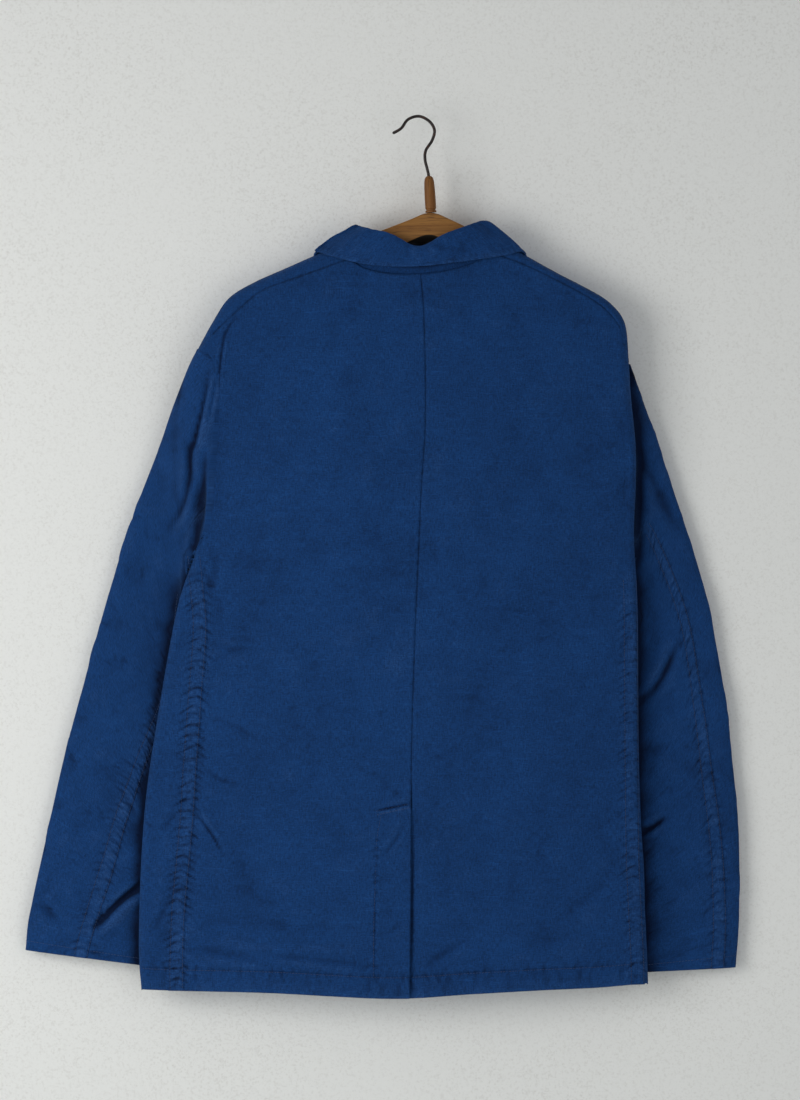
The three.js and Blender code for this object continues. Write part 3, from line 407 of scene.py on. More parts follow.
@dataclass(frozen=True)
class Ledge(Relief):
    """The cloth is doubled on one side of a path, as in a hem."""

    path: Rows
    height: float = 0.5
    half: float = 0.9
    reach: float = 60.0

    def press(self, plan: Array) -> Pair:
        """A step up on the path's right side, with a groove and a line of painted shade along it.

        Args:
            plan: points of the plan (..., 2).

        Returns:
            The heights and the shades.
        """
        distance, _, side = Curve(self.path).nearest(plan, self.reach)
        gap = distance * side
        line = np.exp(-((gap / (1.3 * self.half)) ** 2))
        return self.height * smooth(0.5 - gap / (2 * self.half)) - 0.3 * line, -0.35 * line


@dataclass(frozen=True)
class Pucker(Relief):
    """Small uneven pleats across a seam that shrank in the wash."""

    path: Rows
    seed: int
    half: float
    reach: float
    size: float
    pitch: float
    slant: float
    dark: float = 1.0

    def strokes(self, along: Array, off: Array, slant: float, pitch: float, key: int) -> Pair:
        """One row of pleats.

        Args:
            along: lengths along the seam.
            off: distances off the row's own line.
            slant: how far the pleats lean.
            pitch: the pleats' spacing.
            key: which row this is.

        Returns:
            Heights and shades.
        """
        draw = np.random.default_rng(self.seed * 10 + key)
        lots = draw.random((3, 97))
        slid = along + off * slant + 0.3 * pitch * np.sin(along / (2.1 * pitch))
        t = slid / pitch + draw.random()
        cell = np.floor(t)
        strong, long, aside = lots[:, cell.astype(int) % 97]
        gap = (t - cell - 0.5 + 0.3 * (aside - 0.5)) * pitch
        valley = np.exp(-((gap / (0.17 * pitch)) ** 2))
        crest = np.exp(-(((np.abs(gap) - 0.3 * pitch) / (0.15 * pitch)) ** 2))
        reach = self.reach * (0.6 + 0.9 * long)
        window = np.exp(-((np.minimum(np.abs(off) / reach, 4)) ** 4)) * (0.4 + 0.7 * strong)
        # Painted shade in each valley, and painted highlight on the crests beside it.
        return window * (0.6 * crest - valley), window * (0.3 * crest - valley)

    def profile(self, along: Array, off: Array) -> Pair:
        """Pleats over the seam and its two edges, from the length along it and how far off it.

        Args:
            along: lengths along the seam.
            off: how far off it, in millimetres.

        Returns:
            The heights and the shades.
        """
        rows = ((0.0, 0.2, 1.3), (-self.half, self.slant, 1.0), (self.half, -self.slant, 1.05))
        both = [self.strokes(along, off - place, slant, self.pitch * wide, key)
                for key, (place, slant, wide) in enumerate(rows)]
        return sum(height for height, _ in both), np.maximum(sum(shade for _, shade in both), -1.2)

    def press(self, plan: Array) -> Pair:
        """Pleats that fade at the seam's ends.

        Args:
            plan: points of the plan (..., 2).

        Returns:
            The heights and the shades.
        """
        line = Curve(self.path)
        distance, along, side = line.nearest(plan, self.half + self.reach * 3)
        ends = smooth(along / 30) * smooth((line.length - along) / 12 + 0.4)
        height, shade = self.profile(along, distance * side)
        return self.size * ends * height, self.dark * ends * shade


def pressed(parts: Sequence[Relief], plan: Array) -> Pair:
    """The heights and shades of several reliefs together.

    Args:
        parts: the reliefs.
        plan: points of the plan (..., 2).

    Returns:
        The heights and the shades.
    """
    both = [part.press(plan) for part in parts]
    if not both:
        return np.zeros(plan.shape[:-1]), np.zeros(plan.shape[:-1])
    return sum(height for height, _ in both), sum(shade for _, shade in both)


def raised(rows: Rows, up: float) -> Rows:
    """A line above another by a given height."""
    return [(x, z + up) for x, z in rows]


BAND_RIGHT = ((210, -462), (211, -500), (211.5, -584), (212.5, -714), (215, -790), (217.5, -843),
              (218, -866))
BACK_RELIEF: tuple[Relief, ...] = (
    Fold(((-205, -270), (-210, -420)), 20, 4, swell=0),
    Fold(((-190, -700), (-160, -800)), 24, 2, swell=0),
    Fold(((70, -560), (200, -420)), 40, 2.4, swell=0),
    Fold(((20, -860), (70, -800)), 26, 2.4, swell=0),
    Fold(((-225, -691), (-208, -715), (-194, -738)), 2.1, 1.4, 1.6, 0.3, 0.4, 0.3, 1.2),
    Fold(((-240, -694), (-249, -702), (-257, -714)), 3, 1.6, dark=0.6),
    Fold(((-246, -775), (-255, -793), (-267, -815)), 3.5, 1.8, dark=0.7),
    Fold(((-218, -802), (-150, -803), (-58, -812)), 13, 2.6, swell=0.5, lean=-0.4, dark=0.7),
    Fold(((-236, -826), (-190, -836), (-140, -842)), 6, 2.2, 1.6, 0.6, -0.5, 0.3, 0.75),
    Fold(((-160, -834), (-95, -841), (-42, -848)), 5, 2.0, 1.6, 0.6, -0.5, 0.3, 0.7),
    Fold(((-190, -815), (-140, -824), (-90, -822)), 7, 1.2, dark=0.5),
    Fold(((-120, -770), (-90, -790), (-60, -788)), 9, 0.9, dark=0.5),
    Fold(((-225, -768), (-190, -778), (-130, -774)), 15, 0.9),
    Fold(((7, -845), (28, -832), (54, -816)), 4.5, 1.8, swell=0.6, dark=0.6),
    Fold(((70, -834), (120, -822), (185, -812)), 8, 0.9),
    Fold(((140, -800), (172, -775), (200, -742)), 7, 1.2),
    Fold(((-232, -640), (-238, -720), (-258, -860)), 9, 1.2, dark=1.3),
    Fold(((-214, -585), (-222, -690), (-231, -790)), 6, 0.9, swell=0.3, dark=1.2),
    Fold(((-212, -520), (-190, -532), (-166, -530)), 4, 0.9),
    Fold(((-206, -600), (-186, -606), (-160, -622)), 4, 0.9),
    Fold(((-214, -650), (-196, -662), (-176, -666)), 3, 0.9),
    Fold(((-205, -548), (-187, -534), (-168, -523)), 6, 0.8),
    Fold(((-219, -444), (-208, -470), (-196, -500)), 7, 1.1),
    Fold(((-206, -425), (-203, -452), (-212, -476)), 5, 1.2),
    Fold(((-42, -652), (-30, -668), (-14, -680)), 5, 0.6),
    Fold(((206, -300), (208, -380), (206, -470)), 9, 1.0, swell=0.2),
    Fold(((-60, -165), (0, -175), (60, -163)), 9, 0.8, swell=0.4),
    Ripples(3, 70, 190, 0.42, dark=0.03),
    Ripples(4, 18, 60, 0.2, dark=0.06),
    Ripples(5, 7, 16, 0.06, dark=0.05),
    Ripples(8, 120, 260, 0.5, slant=1.57, spread=0.5, dark=0.03),
    Crumples(91, 46, 0.35, 0.22, 0.22),
    Ledge(raised(HEM[::-1], 22)),
    Pucker(tuple(SIDE_SEAM_LEFT), 11, 7.5, 6, 0.9, 7.8, 0.6, 0.8),
    Pucker(BAND_RIGHT, 12, 7, 5, 0.8, 8.0, 0.6, 0.6),
    Pucker(((-40, -694), (-42.5, -740), (-44.5, -800), (-45, -858)), 13, 2, 5, 0.5, 7.5, 0.6, 0.3),
    Pucker(((7, -200), (2, -382), (-6, -582), (-8, -688)), 14, 0.6, 3.5, 0.1, 9.0, 0.4, 0.08),
    Pucker(raised(HEM, 22), 15, 2, 6, 0.4, 9.0, 0.4, 0.3),
    Pucker(raised(HEM, 11), 16, 1, 8, 0.3, 13.0, 0.3, 0.28),
    Pucker(((-88, -151), (-124, -164), (-157, -177), (-186, -201)),
           17, 1.0, 5, 0.15, 9.0, 0.4, 0.25),
    # Painted shade in the bar tack's stitched groove.
    Fold(((-44, -692.6), (-25, -689), (-8.5, -684.5)), 1.6, 0.8, swell=0.5, dark=0.75),
    # Painted shadow of the vent's flap on the panel beside its edge.
    Fold(((-6.3, -698), (-6.5, -760), (-7.3, -820), (-8, -874)), 2.2, 0.7, swell=0, dark=1.9),
    Fold(((-176, -194), (-188, -206), (-194, -217), (-197, -233), (-199.5, -256), (-201, -284)),
         2.0, 1.4, swell=0.4, dark=0.9),
)
FRONT_RELIEF: tuple[Relief, ...] = (
    Fold(((-120, -330), (-60, -480)), 34, 3, swell=0),
    Fold(((150, -300), (60, -520)), 34, 3, swell=0),
    Fold(((-190, -440), (-120, -470), (-60, -468)), 12, 1.6),
    Fold(((185, -440), (120, -475), (60, -470)), 12, 1.6),
    Fold(((-40, -352), (-90, -372), (-150, -410)), 10, 1.4),
    Fold(((40, -457), (95, -500), (150, -560)), 12, 1.3),
    Fold(((-30, -562), (-90, -620), (-140, -700)), 14, 1.4),
    Fold(((120, -760), (170, -800), (205, -815)), 10, 1.2),
    Fold(((-200, -790), (-130, -815), (-60, -812)), 11, 1.3),
    Ripples(23, 70, 190, 0.5, dark=0.03),
    Ripples(24, 18, 60, 0.2, dark=0.06),
    Crumples(92, 46, 0.35, 0.22, 0.22),
    Ledge(raised(HEM[::-1], 22)),
    Pucker(raised(HEM, 22), 26, 2, 6, 0.35, 9.5, 0.4, 0.45),
)
SLEEVE_LEFT_RELIEF: tuple[Relief, ...] = (
    # Folds A and B beside the armhole carry strong painted shade, the fold with a negative depth a
    # painted highlight on the ridge between them, and the broad fold after them the painted shadow
    # between the sleeve and the body's edge.
    Fold(((-209, -246), (-214, -276), (-221, -306), (-225, -321), (-230, -334), (-231, -356),
          (-238, -388), (-252, -412)), 3.6, 4.2, 1.8, 0.5, 0.6, 0.3, 1.4),
    Fold(((-202, -258), (-207, -284), (-213, -310)), 2.2, 2.6, 1.7, 0.5, 0.3, 0.0, 1.3),
    Fold(((-206, -254), (-211, -284), (-217, -314)), 3.5, -1.6, swell=0, dark=0.5),
    Fold(((-224, -318), (-225, -350), (-222, -385), (-226, -420), (-234, -446)),
         9, 5, 1.8, 0.2, 0, 0, 1.1),
    Fold(((-213, -330), (-215, -362), (-219, -400), (-227, -438)), 4, 2.5, 1.7, 0.2, dark=1.3),
    Fold(((-235, -382), (-244, -397), (-255, -415)), 7, 1.8, swell=0.5),
    Fold(((-266, -408), (-277, -438), (-288, -476)), 12, 2.2, swell=0.5),
    Fold(((-250, -440), (-247, -480), (-256, -520)), 9, 1.5),
    Fold(((-268, -757), (-280, -768), (-300, -784), (-328, -813)),
         4.2, 7.0, 1.6, 0.5, 0.5, 0.3, 3.2),
    Fold(((-381, -784), (-368, -798), (-354, -811)), 6, 2.0, 1.8, 0.5),
    Fold(((-300, -674), (-290, -688), (-284, -700)), 3.6, 1.8, 1.7, 0.5),
    Fold(((-330, -640), (-310, -655), (-296, -668)), 8, 1.0),
    Fold(((-350, -760), (-330, -772), (-310, -774)), 9, 1.0),
    Fold(((-362, -826), (-340, -822), (-318, -828)), 6, 1.0),
    Ripples(33, 50, 150, 0.6, dark=0.05),
    Ripples(34, 16, 50, 0.3, dark=0.08),
    Ripples(35, 7, 16, 0.07, dark=0.05),
    Crumples(93, 34, 0.5, 0.24, 0.4),
)
SLEEVE_RIGHT_RELIEF: tuple[Relief, ...] = (
    Fold(((218, -322), (224, -344), (237, -365), (250, -392), (266, -420)), 7, 2.6, 1.9, 0.45),
    Fold(((219, -300), (221, -380), (221, -450)), 5, 3.0, 1.8, 0.2),
    Fold(((220, -588), (240, -566), (262, -522)), 5, 3.2, 1.7, 0.5, 0.4, 0.0, 1.2),
    Fold(((219, -718), (232, -712), (248, -702)), 3.6, 5.0, 1.5, 0.5, 0.0, 0.3, 1.7),
    Fold(((222, -716), (236, -724), (262, -738)), 8, 1.6, swell=0.4),
    Fold(((222, -628), (232, -632), (250, -630)), 7, 1.6, swell=0.4),
    Fold(((226, -480), (236, -500), (240, -530)), 8, 1.4),
    Fold(((230, -660), (262, -672), (290, -668)), 10, 0.9),
    Fold(((228, -800), (262, -822), (300, -832)), 9, 1.3),
    Ripples(43, 50, 150, 0.6, dark=0.05),
    Ripples(44, 16, 50, 0.3, dark=0.08),
    Ripples(45, 7, 16, 0.07, dark=0.05),
    Crumples(94, 34, 0.5, 0.24, 0.4),
)


# ---- the surfaces that the cloth lies on
class Side(Enum):
    """The two faces of the blazer."""

    BACK = -1
    FRONT = 1


@dataclass
class Patch:
    """A grid of cloth: points and outward normals in millimetres, and what its finish reads: the
    grain, the painted shade of its creases and the painted highlight of its ridges, and its wear.
    """

    points: Array
    normals: Array
    grain: Array
    # painted shade below 0 and painted highlight above 0, which the finish blends into the cloth's
    # colour
    tone: Array
    wear: Array


def crossed(points: Array) -> Array:
    """Normals of a grid of points, from its rows and columns.

    Args:
        points: the grid (rows, columns, 3).

    Returns:
        The normals (rows, columns, 3).
    """
    down = np.gradient(points, axis=0)
    across = np.gradient(points, axis=1)
    return unit(np.cross(across, down))


def near_seams(plan: Array, seams: Sequence[Rows]) -> Array:
    """1 on the seams given, fading to 0 beyond half a band's width.

    Args:
        plan: points of the plan (..., 2).
        seams: lines of the plan.

    Returns:
        The shares (...).
    """
    worn = np.zeros(plan.shape[:-1])
    for seam in seams:
        distance, _, _ = Curve(seam).nearest(plan, 3 * BAND_REACH)
        worn = np.maximum(worn, np.exp(-((distance / BAND_REACH) ** 2)))
    return worn


@dataclass
class BodyForm:
    """The blazer's body as it hangs: a round fold all along its outline, and a low swell."""

    shoulder_radius: float = 8.8
    side_radius: float = 6.5
    back_swell: float = 16.0
    front_swell: float = 7.0
    swell_reach: float = 190.0
    outline: list[Curve] = field(default_factory=lambda: [
        Curve(rows) for rows in (RIDGE_LEFT, FOLD_LEFT, SIDE_LEFT,
                                 RIDGE_RIGHT, FOLD_RIGHT, SIDE_RIGHT)])
    chart: Array = field(init=False)
    corner: tuple[float, float] = (-300.0, -900.0)
    cells: tuple[int, int] = (190, 275)
    spacing: float = 3.0
    charted_from: float = 15.0

    def radius(self, z: Array) -> Array:
        """Roundness of the fold that closes the outline at a height."""
        return mix(self.shoulder_radius, self.side_radius, smooth((-240 - z) / 150))

    def __post_init__(self) -> None:
        """Charts the distance from the outline, to read it quickly far from the outline."""
        x, z = (low + self.spacing * np.arange(count)
                for low, count in zip(self.corner, self.cells))
        self.chart = self._exact(np.stack(np.meshgrid(x, z, indexing="ij"), -1))

    def _exact(self, plan: Array) -> Array:
        """Distance of points from the outline, measured."""
        return np.min([line.nearest(plan)[0] for line in self.outline], axis=0)

    def inside(self, plan: Array) -> Array:
        """Distance of points of the plan from the outline: charted, and measured close to it.

        Args:
            plan: points of the plan (..., 2).

        Returns:
            The distances (...).
        """
        place = (plan - self.corner) / self.spacing
        cell = np.clip(place.astype(int), 0, np.array(self.chart.shape) - 2)
        u, v = np.moveaxis(place - cell, -1, 0)
        i, j = np.moveaxis(cell, -1, 0)
        chart = self.chart
        found = mix(mix(chart[i, j], chart[i + 1, j], u),
                    mix(chart[i, j + 1], chart[i + 1, j + 1], u), v)
        close = found < self.charted_from
        found[close] = self._exact(plan[close])
        return found

    def out(self, side: Side, plan: Array, distance: Array) -> Array:
        """How far the cloth stands out from the plane of the hanger.

        Args:
            side: the back or the front.
            plan: points of the plan (..., 2).
            distance: distances from the outline.

        Returns:
            The distances (...).
        """
        radius = self.radius(plan[..., 1])
        rise = np.sqrt(1 - (1 - np.minimum(distance / radius, 1)) ** 2)
        swell = self.back_swell if side is Side.BACK else self.front_swell
        share = np.minimum(distance / self.swell_reach, 1)
        return radius * rise + swell * np.sin(np.pi / 2 * share)


FORM = BodyForm()
EDGE_GAP = 0.15


@dataclass
class Face:
    """One face of the body, with its folds, as a surface over the plan."""

    side: Side
    relief: tuple[Relief, ...]
    sunk: Callable[[Array], Array] | None = None
    seams: tuple[Rows, ...] = ()
    grooves: tuple[Rows, ...] = ()
    calm: float = 10.0

    def pressed(self, plan: Array, distance: Array) -> Pair:
        """The relief's heights, which die away towards the outline, and its painted shades, with
        the grooves' own.

        Args:
            plan: points of the plan (..., 2).
            distance: distances from the outline.

        Returns:
            The heights and the shades.
        """
        height, shade = pressed(self.relief, plan)
        height = height * smooth((distance - 0.5) / self.calm)
        for groove in self.grooves:
            off, _, _ = Curve(groove).nearest(plan, 5)
            line = np.exp(-((off / 1.1) ** 2))
            height = height - 0.8 * line + 0.25 * np.exp(-(((off - 2.6) / 1.6) ** 2))
            # Painted shade in the groove, and a painted highlight beside it.
            shade = shade - 0.34 * line + 0.1 * np.exp(-(((off - 2.6) / 1.8) ** 2))
        return height, shade

    def _base(self, plan: Array) -> Array:
        """The face without its relief.

        Args:
            plan: points of the plan (..., 2).

        Returns:
            The points (..., 3).
        """
        distance = np.maximum(FORM.inside(plan) - EDGE_GAP, 0)
        out = FORM.out(self.side, plan, distance)
        if self.sunk is not None:
            out = out - self.sunk(plan)
        return np.stack([plan[..., 0], self.side.value * out, plan[..., 1]], -1)

    def patch(self, plan: Array, lift: float | Array = 0.0) -> Patch:
        """Cloth over a grid of the plan.

        Args:
            plan: points (rows, columns, 2).
            lift: how far it stands out beyond the face.

        Returns:
            The grid of cloth.
        """
        plan = np.array(plan, float)
        base = self._base(plan)
        step = 0.5
        across = self._base(plan + [step, 0]) - self._base(plan - [step, 0])
        down = self._base(plan + [0, step]) - self._base(plan - [0, step])
        normals = unit(np.cross(across, down)) * -self.side.value
        normals = np.where(normals[..., 1:2] * self.side.value < 0, -normals, normals)
        distance = FORM.inside(plan)
        height, shade = self.pressed(plan, distance)
        points = base + normals * (height + lift)[..., None]
        return Patch(points, normals, plan.copy(), shade, near_seams(plan, self.seams))


# ---- lines shared by the body's panels
ARM_ROWS, SIDE_ROWS, TOP_COLUMNS = 120, 252, 100


def beside(fold: Array, towards: Array, closed_end: float) -> Array:
    """A line beside a fold, inwards by the fold's radius, except at a closed end.

    Args:
        fold: points of the plan.
        towards: a direction inwards.
        closed_end: the share of the line at which it closes on the fold.

    Returns:
        The line, in step with the fold.
    """
    run = np.gradient(fold, axis=0)
    inward = unit(np.stack([run[:, 1], -run[:, 0]], -1))
    inward *= np.where((inward @ towards) < 0, -1, 1)[:, None]
    length = lengths(fold)[-1]
    reach = length * np.abs(shares(fold) - closed_end)
    return fold + inward * (FORM.radius(fold[:, 1]) * np.minimum(reach / 30, 1))[:, None]


def rim(fold: Array, line: Array, rows: int = 9) -> Array:
    """Plan rows from a fold to a line beside it, close together where the cloth turns.

    Args:
        fold: the fold, as points of the plan.
        line: a line in step with it.
        rows: how many steps go round the turn.

    Returns:
        The points (rows, columns, 2).
    """
    radius = FORM.radius(fold[:, 1])
    width = np.linalg.norm(line - fold, axis=1)
    turn = np.arccos(1 - np.minimum(width / radius, 1))
    t = even(rows)[:, None]
    share = radius * (1 - np.cos(turn * t)) / np.maximum(width, 1e-6)
    share = np.where(width > 0, np.minimum(share, 1), t)
    points = fold[None] + (line - fold)[None] * share[..., None]
    if (width > 1.3 * radius).any():
        more = even(14)[1:, None, None]
        points = np.concatenate([points, mix(points[-1], line, more)])
    return points


NECK_COLUMNS = 34


class Half:
    """All the lines of one half of the body that its panels share."""

    def __init__(self, sign: int, ridge: Rows, seam: Rows, neck: Rows, fold: Rows, arm_back: Rows,
                 arm_front: Rows, side: Rows, side_seam: Rows | None = None) -> None:
        """Reads the half's lines at even stops.

        Args:
            sign: -1 on the wearer's left, 1 on the right.
            ridge: the shoulder's top line.
            seam: the shoulder seam.
            neck: the neck seam.
            fold: the outline beside the armhole.
            arm_back: the armhole seam on the back.
            arm_front: the armhole seam on the front.
            side: the outline below the armhole.
            side_seam: the side seam, if it is not the outline.
        """
        self.sign = sign
        self.ridge, self.seam = (
            Curve(v).at(even(TOP_COLUMNS - NECK_COLUMNS)) for v in (ridge, seam))
        self.neck = Curve(neck).at(even(NECK_COLUMNS))
        self.fold, self.arm_back, self.arm_front = (
            Curve(v).at(even(ARM_ROWS)) for v in (fold, arm_back, arm_front))
        self.side, self.side_seam = (
            Curve(v).at(even(SIDE_ROWS)) for v in (side, side_seam or side))
        self.ridge_beside = beside(self.ridge, np.array([0, -1.0]), 1)


LEFT = Half(-1, RIDGE_LEFT, SHOULDER_LEFT, NECK_LEFT, FOLD_LEFT, ARM_LEFT_BACK, ARM_LEFT_FRONT,
            SIDE_LEFT, SIDE_SEAM_LEFT)
RIGHT = Half(1, RIDGE_RIGHT, SHOULDER_RIGHT, NECK_RIGHT, FOLD_RIGHT, ARM_RIGHT_BACK,
             ARM_RIGHT_FRONT, SIDE_RIGHT)


def centre_x(z: Array) -> Array:
    """Where the centre back seam lies at a height."""
    rows = np.array(CENTRE_BACK)
    return table_value(-rows[:, 1], rows[:, 0], -np.asarray(z, float))


def hem_z(x: Array) -> Array:
    """The hem's height at a given x."""
    rows = np.array(HEM)
    return table_value(rows[:, 0], rows[:, 1], x)


def vent_sink(plan: Array) -> Array:
    """How far the right back is sunk, so that it can pass under the vent's flap."""
    near = smooth((centre_x(plan[..., 1]) + 16 - plan[..., 0]) / 13)
    return LAYER * near * smooth((VENT_TOP + 34 - plan[..., 1]) / 30)


def front_sink(plan: Array) -> Array:
    """How far the right front is sunk, so that the left front can lap over it."""
    near = smooth((FRONT_OVERLAP + 26 - plan[..., 0]) / 22)
    return LAYER * near * smooth((-200 - plan[..., 1]) / 60)


def graded(points: Array, fine: float, coarse: float, margin: float) -> Array:
    """Shares for columns between two edges: fine steps near them and coarse ones between.

    Args:
        points: the length of the row, in millimetres.
        fine: step near the edges.
        coarse: step in the middle.
        margin: how far in the fine steps reach.

    Returns:
        Rising shares from 0 to 1.
    """
    length = float(points)
    s = np.linspace(0, length, 400)
    near = np.minimum(s, length - s)
    density = 1 / mix(fine, coarse, smooth(near / margin - 0.4))
    count = np.concatenate([[0], np.cumsum((density[1:] + density[:-1]) / 2 * np.diff(s))])
    total = int(math.ceil(count[-1]))
    return np.interp(even(total) * count[-1], count, s) / length


def finer(line: Array, columns: Array) -> Array:
    """A polyline read at other shares of its length."""
    return between(columns, shares(line), line)


def front_edge(half: Half) -> Array:
    """The inner edge of a front: down the lapel's fold, then straight down to the hem.

    Args:
        half: the lines of its half.

    Returns:
        The points (rows, 2).
    """
    start = half.ridge_beside[0]
    rows = np.array(LAPEL)
    edge_x = -half.sign * FRONT_OVERLAP
    keys = [-start[1], *(-rows[:, 1]), *(-z for z in STRAIGHT_EDGE)]
    xs = [start[0], *(half.sign * rows[:, 0]), *(edge_x,) * 3]
    underarm = half.fold[-1, 1]
    bottom = float(hem_z(edge_x))
    z = np.concatenate([
        mix(start[1], underarm, even(ARM_ROWS)), mix(underarm, bottom, even(SIDE_ROWS)[1:])
    ])
    return np.stack([table_value(keys, xs, -z), z], -1)


# ---- making meshes
def outwards(quads: Array, points: Array, normals: Array) -> Array:
    """Quads turned so that they face along the normals.

    Args:
        quads: corners of each face, by number.
        points: the corners.
        normals: the way out at each corner.

    Returns:
        The faces, turned.
    """
    a, b, c = (points[quads[:, k]] for k in (0, 1, 2))
    wrong = (np.cross(b - a, c - b) * normals[quads[:, 0]]).sum(1) < 0
    quads[wrong] = quads[wrong][:, ::-1]
    return quads


def linked(mesh: bpy.types.Mesh) -> Piece:
    """Puts a mesh in the scene as a piece of the same name.

    Args:
        mesh: the mesh.

    Returns:
        The mesh object.
    """
    piece = bpy.data.objects.new(mesh.name, mesh)
    bpy.context.scene.collection.objects.link(piece)
    return piece


def meshed(name: str, points: Array, faces: Sequence[Sequence[int]]) -> Piece:
    """A piece from points in millimetres and faces.

    Args:
        name: the piece's name.
        points: its corners.
        faces: the corners of each face, by number.

    Returns:
        The mesh object.
    """
    mesh = bpy.data.meshes.new(name)
    mesh.from_pydata((np.asarray(points) * MM).tolist(), [], faces)
    return linked(mesh)


def tube(rings: Array, start: int = 0) -> list[list[int]]:
    """Faces of a tube over rings (rows, corners, 3) of points, counted from start and closed.

    Args:
        rings: rings of points.
        start: the number of the first corner.

    Returns:
        The faces, by corner numbers.
    """
    ids = start + np.arange(rings.shape[0] * rings.shape[1]).reshape(rings.shape[:2])
    after = np.roll(ids, -1, axis=1)
    sides = np.stack([ids[:-1], after[:-1], after[1:], ids[1:]], -1).reshape(-1, 4).tolist()
    return sides + [ids[0].tolist()[::-1], ids[-1].tolist()]


@dataclass
class Cloth:
    """A piece of cloth: grids welded into one sheet and given a wall."""

    name: str
    wall: float = 1.2

    def build(self, patches: Sequence[Patch]) -> Piece:
        """Makes the piece.

        Args:
            patches: its grids, which share their borders' points.

        Returns:
            The mesh object, with a UV map of its grain and its tone and wear attributes.
        """
        sizes = {"points": 3, "normals": 3, "grain": 2, "tone": 1, "wear": 1}
        flat = [np.concatenate([getattr(patch, key).reshape(-1, size) for patch in patches])
                for key, size in sizes.items()]
        quads, start = [], 0
        for patch in patches:
            rows, columns = patch.points.shape[:2]
            ids = start + np.arange(rows * columns).reshape(rows, columns)
            quads.append(np.stack(
                [ids[:-1, :-1], ids[:-1, 1:], ids[1:, 1:], ids[1:, :-1]], -1).reshape(-1, 4))
            start += rows * columns
        quads = np.concatenate(quads)
        _, first, back = np.unique(np.round(flat[0] * 20).astype(np.int64), axis=0,
                                   return_index=True, return_inverse=True)
        points, normals, grain, tone, wear = (v[first] for v in flat)
        quads = back.reshape(-1)[quads]
        quads = quads[[len(set(q)) == 4 for q in quads.tolist()]]
        quads = outwards(quads, points, normals)
        count = len(points)
        wall = np.concatenate([points, points - normals * self.wall])
        faces = np.concatenate([quads, quads[:, ::-1] + count, self._rims(quads, count)])
        return self._mesh(wall, faces, *(np.tile(v, (2, 1)) for v in (grain, tone, wear)))

    @staticmethod
    def _rims(quads: Array, count: int) -> Array:
        """Quads that close the wall along the sheet's free edges.

        Args:
            quads: faces of one side.
            count: how many corners one side has.

        Returns:
            The faces of the rims.
        """
        edges = np.concatenate([quads[:, [k, (k + 1) % 4]] for k in range(4)])
        keys = np.sort(edges, axis=1)
        _, index, hits = np.unique(keys, axis=0, return_index=True, return_counts=True)
        free = edges[index[hits == 1]]
        return np.stack([free[:, 1], free[:, 0], free[:, 0] + count, free[:, 1] + count], -1)

    def _mesh(self, points: Array, faces: Array, grain: Array, tone: Array, wear: Array) -> Piece:
        """The Blender mesh of a walled sheet.

        Args:
            points: its corners.
            faces: its faces.
            grain: places on the weave.
            tone: painted shade in folds and grooves, and painted highlight on ridges.
            wear: how worn it is.

        Returns:
            The mesh object.
        """
        mesh = bpy.data.meshes.new(f"{self.name}_cloth")
        mesh.vertices.add(len(points))
        mesh.vertices.foreach_set("co", (points * MM).astype(np.float32).ravel())
        mesh.loops.add(faces.size)
        mesh.loops.foreach_set("vertex_index", faces.astype(np.int32).ravel())
        mesh.polygons.add(len(faces))
        mesh.polygons.foreach_set("loop_start", np.arange(0, faces.size, 4, dtype=np.int32))
        mesh.polygons.foreach_set("use_smooth", np.ones(len(faces), bool))
        uv = mesh.uv_layers.new(name="grain")
        uv.data.foreach_set("uv", (grain * MM)[faces.ravel()].astype(np.float32).ravel())
        for key, values in (("tone", tone), ("wear", wear)):
            layer = mesh.attributes.new(key, "FLOAT", "POINT")
            layer.data.foreach_set("value", values.astype(np.float32).ravel())
        mesh.update()
        mesh.validate()
        return linked(mesh)


# ---- dressing pieces
# Flat width, length and area of each cloth piece, in metres, and what it hangs from.
CUTS = {
    "back_left": (0.262, 0.738, 0.168, "hanger_bar"),
    "back_right": (0.292, 0.752, 0.187, "hanger_bar"),
    "front_left": (0.345, 0.765, 0.21, "hanger_bar"),
    "front_right": (0.305, 0.765, 0.19, "hanger_bar"),
    "sleeve_left_top": (0.215, 0.62, 0.1, "back_left"),
    "sleeve_left_under": (0.12, 0.6, 0.0255, "back_left"),
    "sleeve_right_top": (0.19, 0.62, 0.082, "back_right"),
    "sleeve_right_under": (0.14, 0.6, 0.042, "back_right"),
    "collar_stand": (0.5, 0.018, 0.0072, "back_left", "back_right"),
    "collar_fall": (0.48, 0.045, 0.0175, "collar_stand"),
    "lapel_left": (0.06, 0.135, 0.0045, "front_left"),
    "lapel_right": (0.06, 0.135, 0.0045, "front_right"),
}


def declare(piece: Piece, material: Material, node: str = "") -> Piece:
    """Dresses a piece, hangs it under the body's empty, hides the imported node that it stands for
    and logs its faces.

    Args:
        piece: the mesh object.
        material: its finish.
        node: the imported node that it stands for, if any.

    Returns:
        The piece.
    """
    piece.data.materials.clear()
    piece.data.materials.append(material)
    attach(piece, BODY)
    if node:
        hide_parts(node)
    if node in CUTS:
        width, length, area, *rests_on = CUTS[node]
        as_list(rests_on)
    log.info("%s: %d faces", piece.name, len(piece.data.polygons))
    return piece


# ---- the body
BACK = Face(Side.BACK, BACK_RELIEF, seams=(
    SIDE_SEAM_LEFT, BAND_RIGHT, HEM),
    grooves=(CENTRE_BACK[:6], SHOULDER_LEFT[:6], SHOULDER_RIGHT[:6]))
FACING = ((-38, -697), (-42, -720), (-43.5, -760), (-45, -800), (-45.5, -858))
BAR_TACK = (((-43, -692.5), (-26, -688.5), (-8.5, -685)),
            ((-42, -696), (-25, -692), (-8.5, -688.5)))


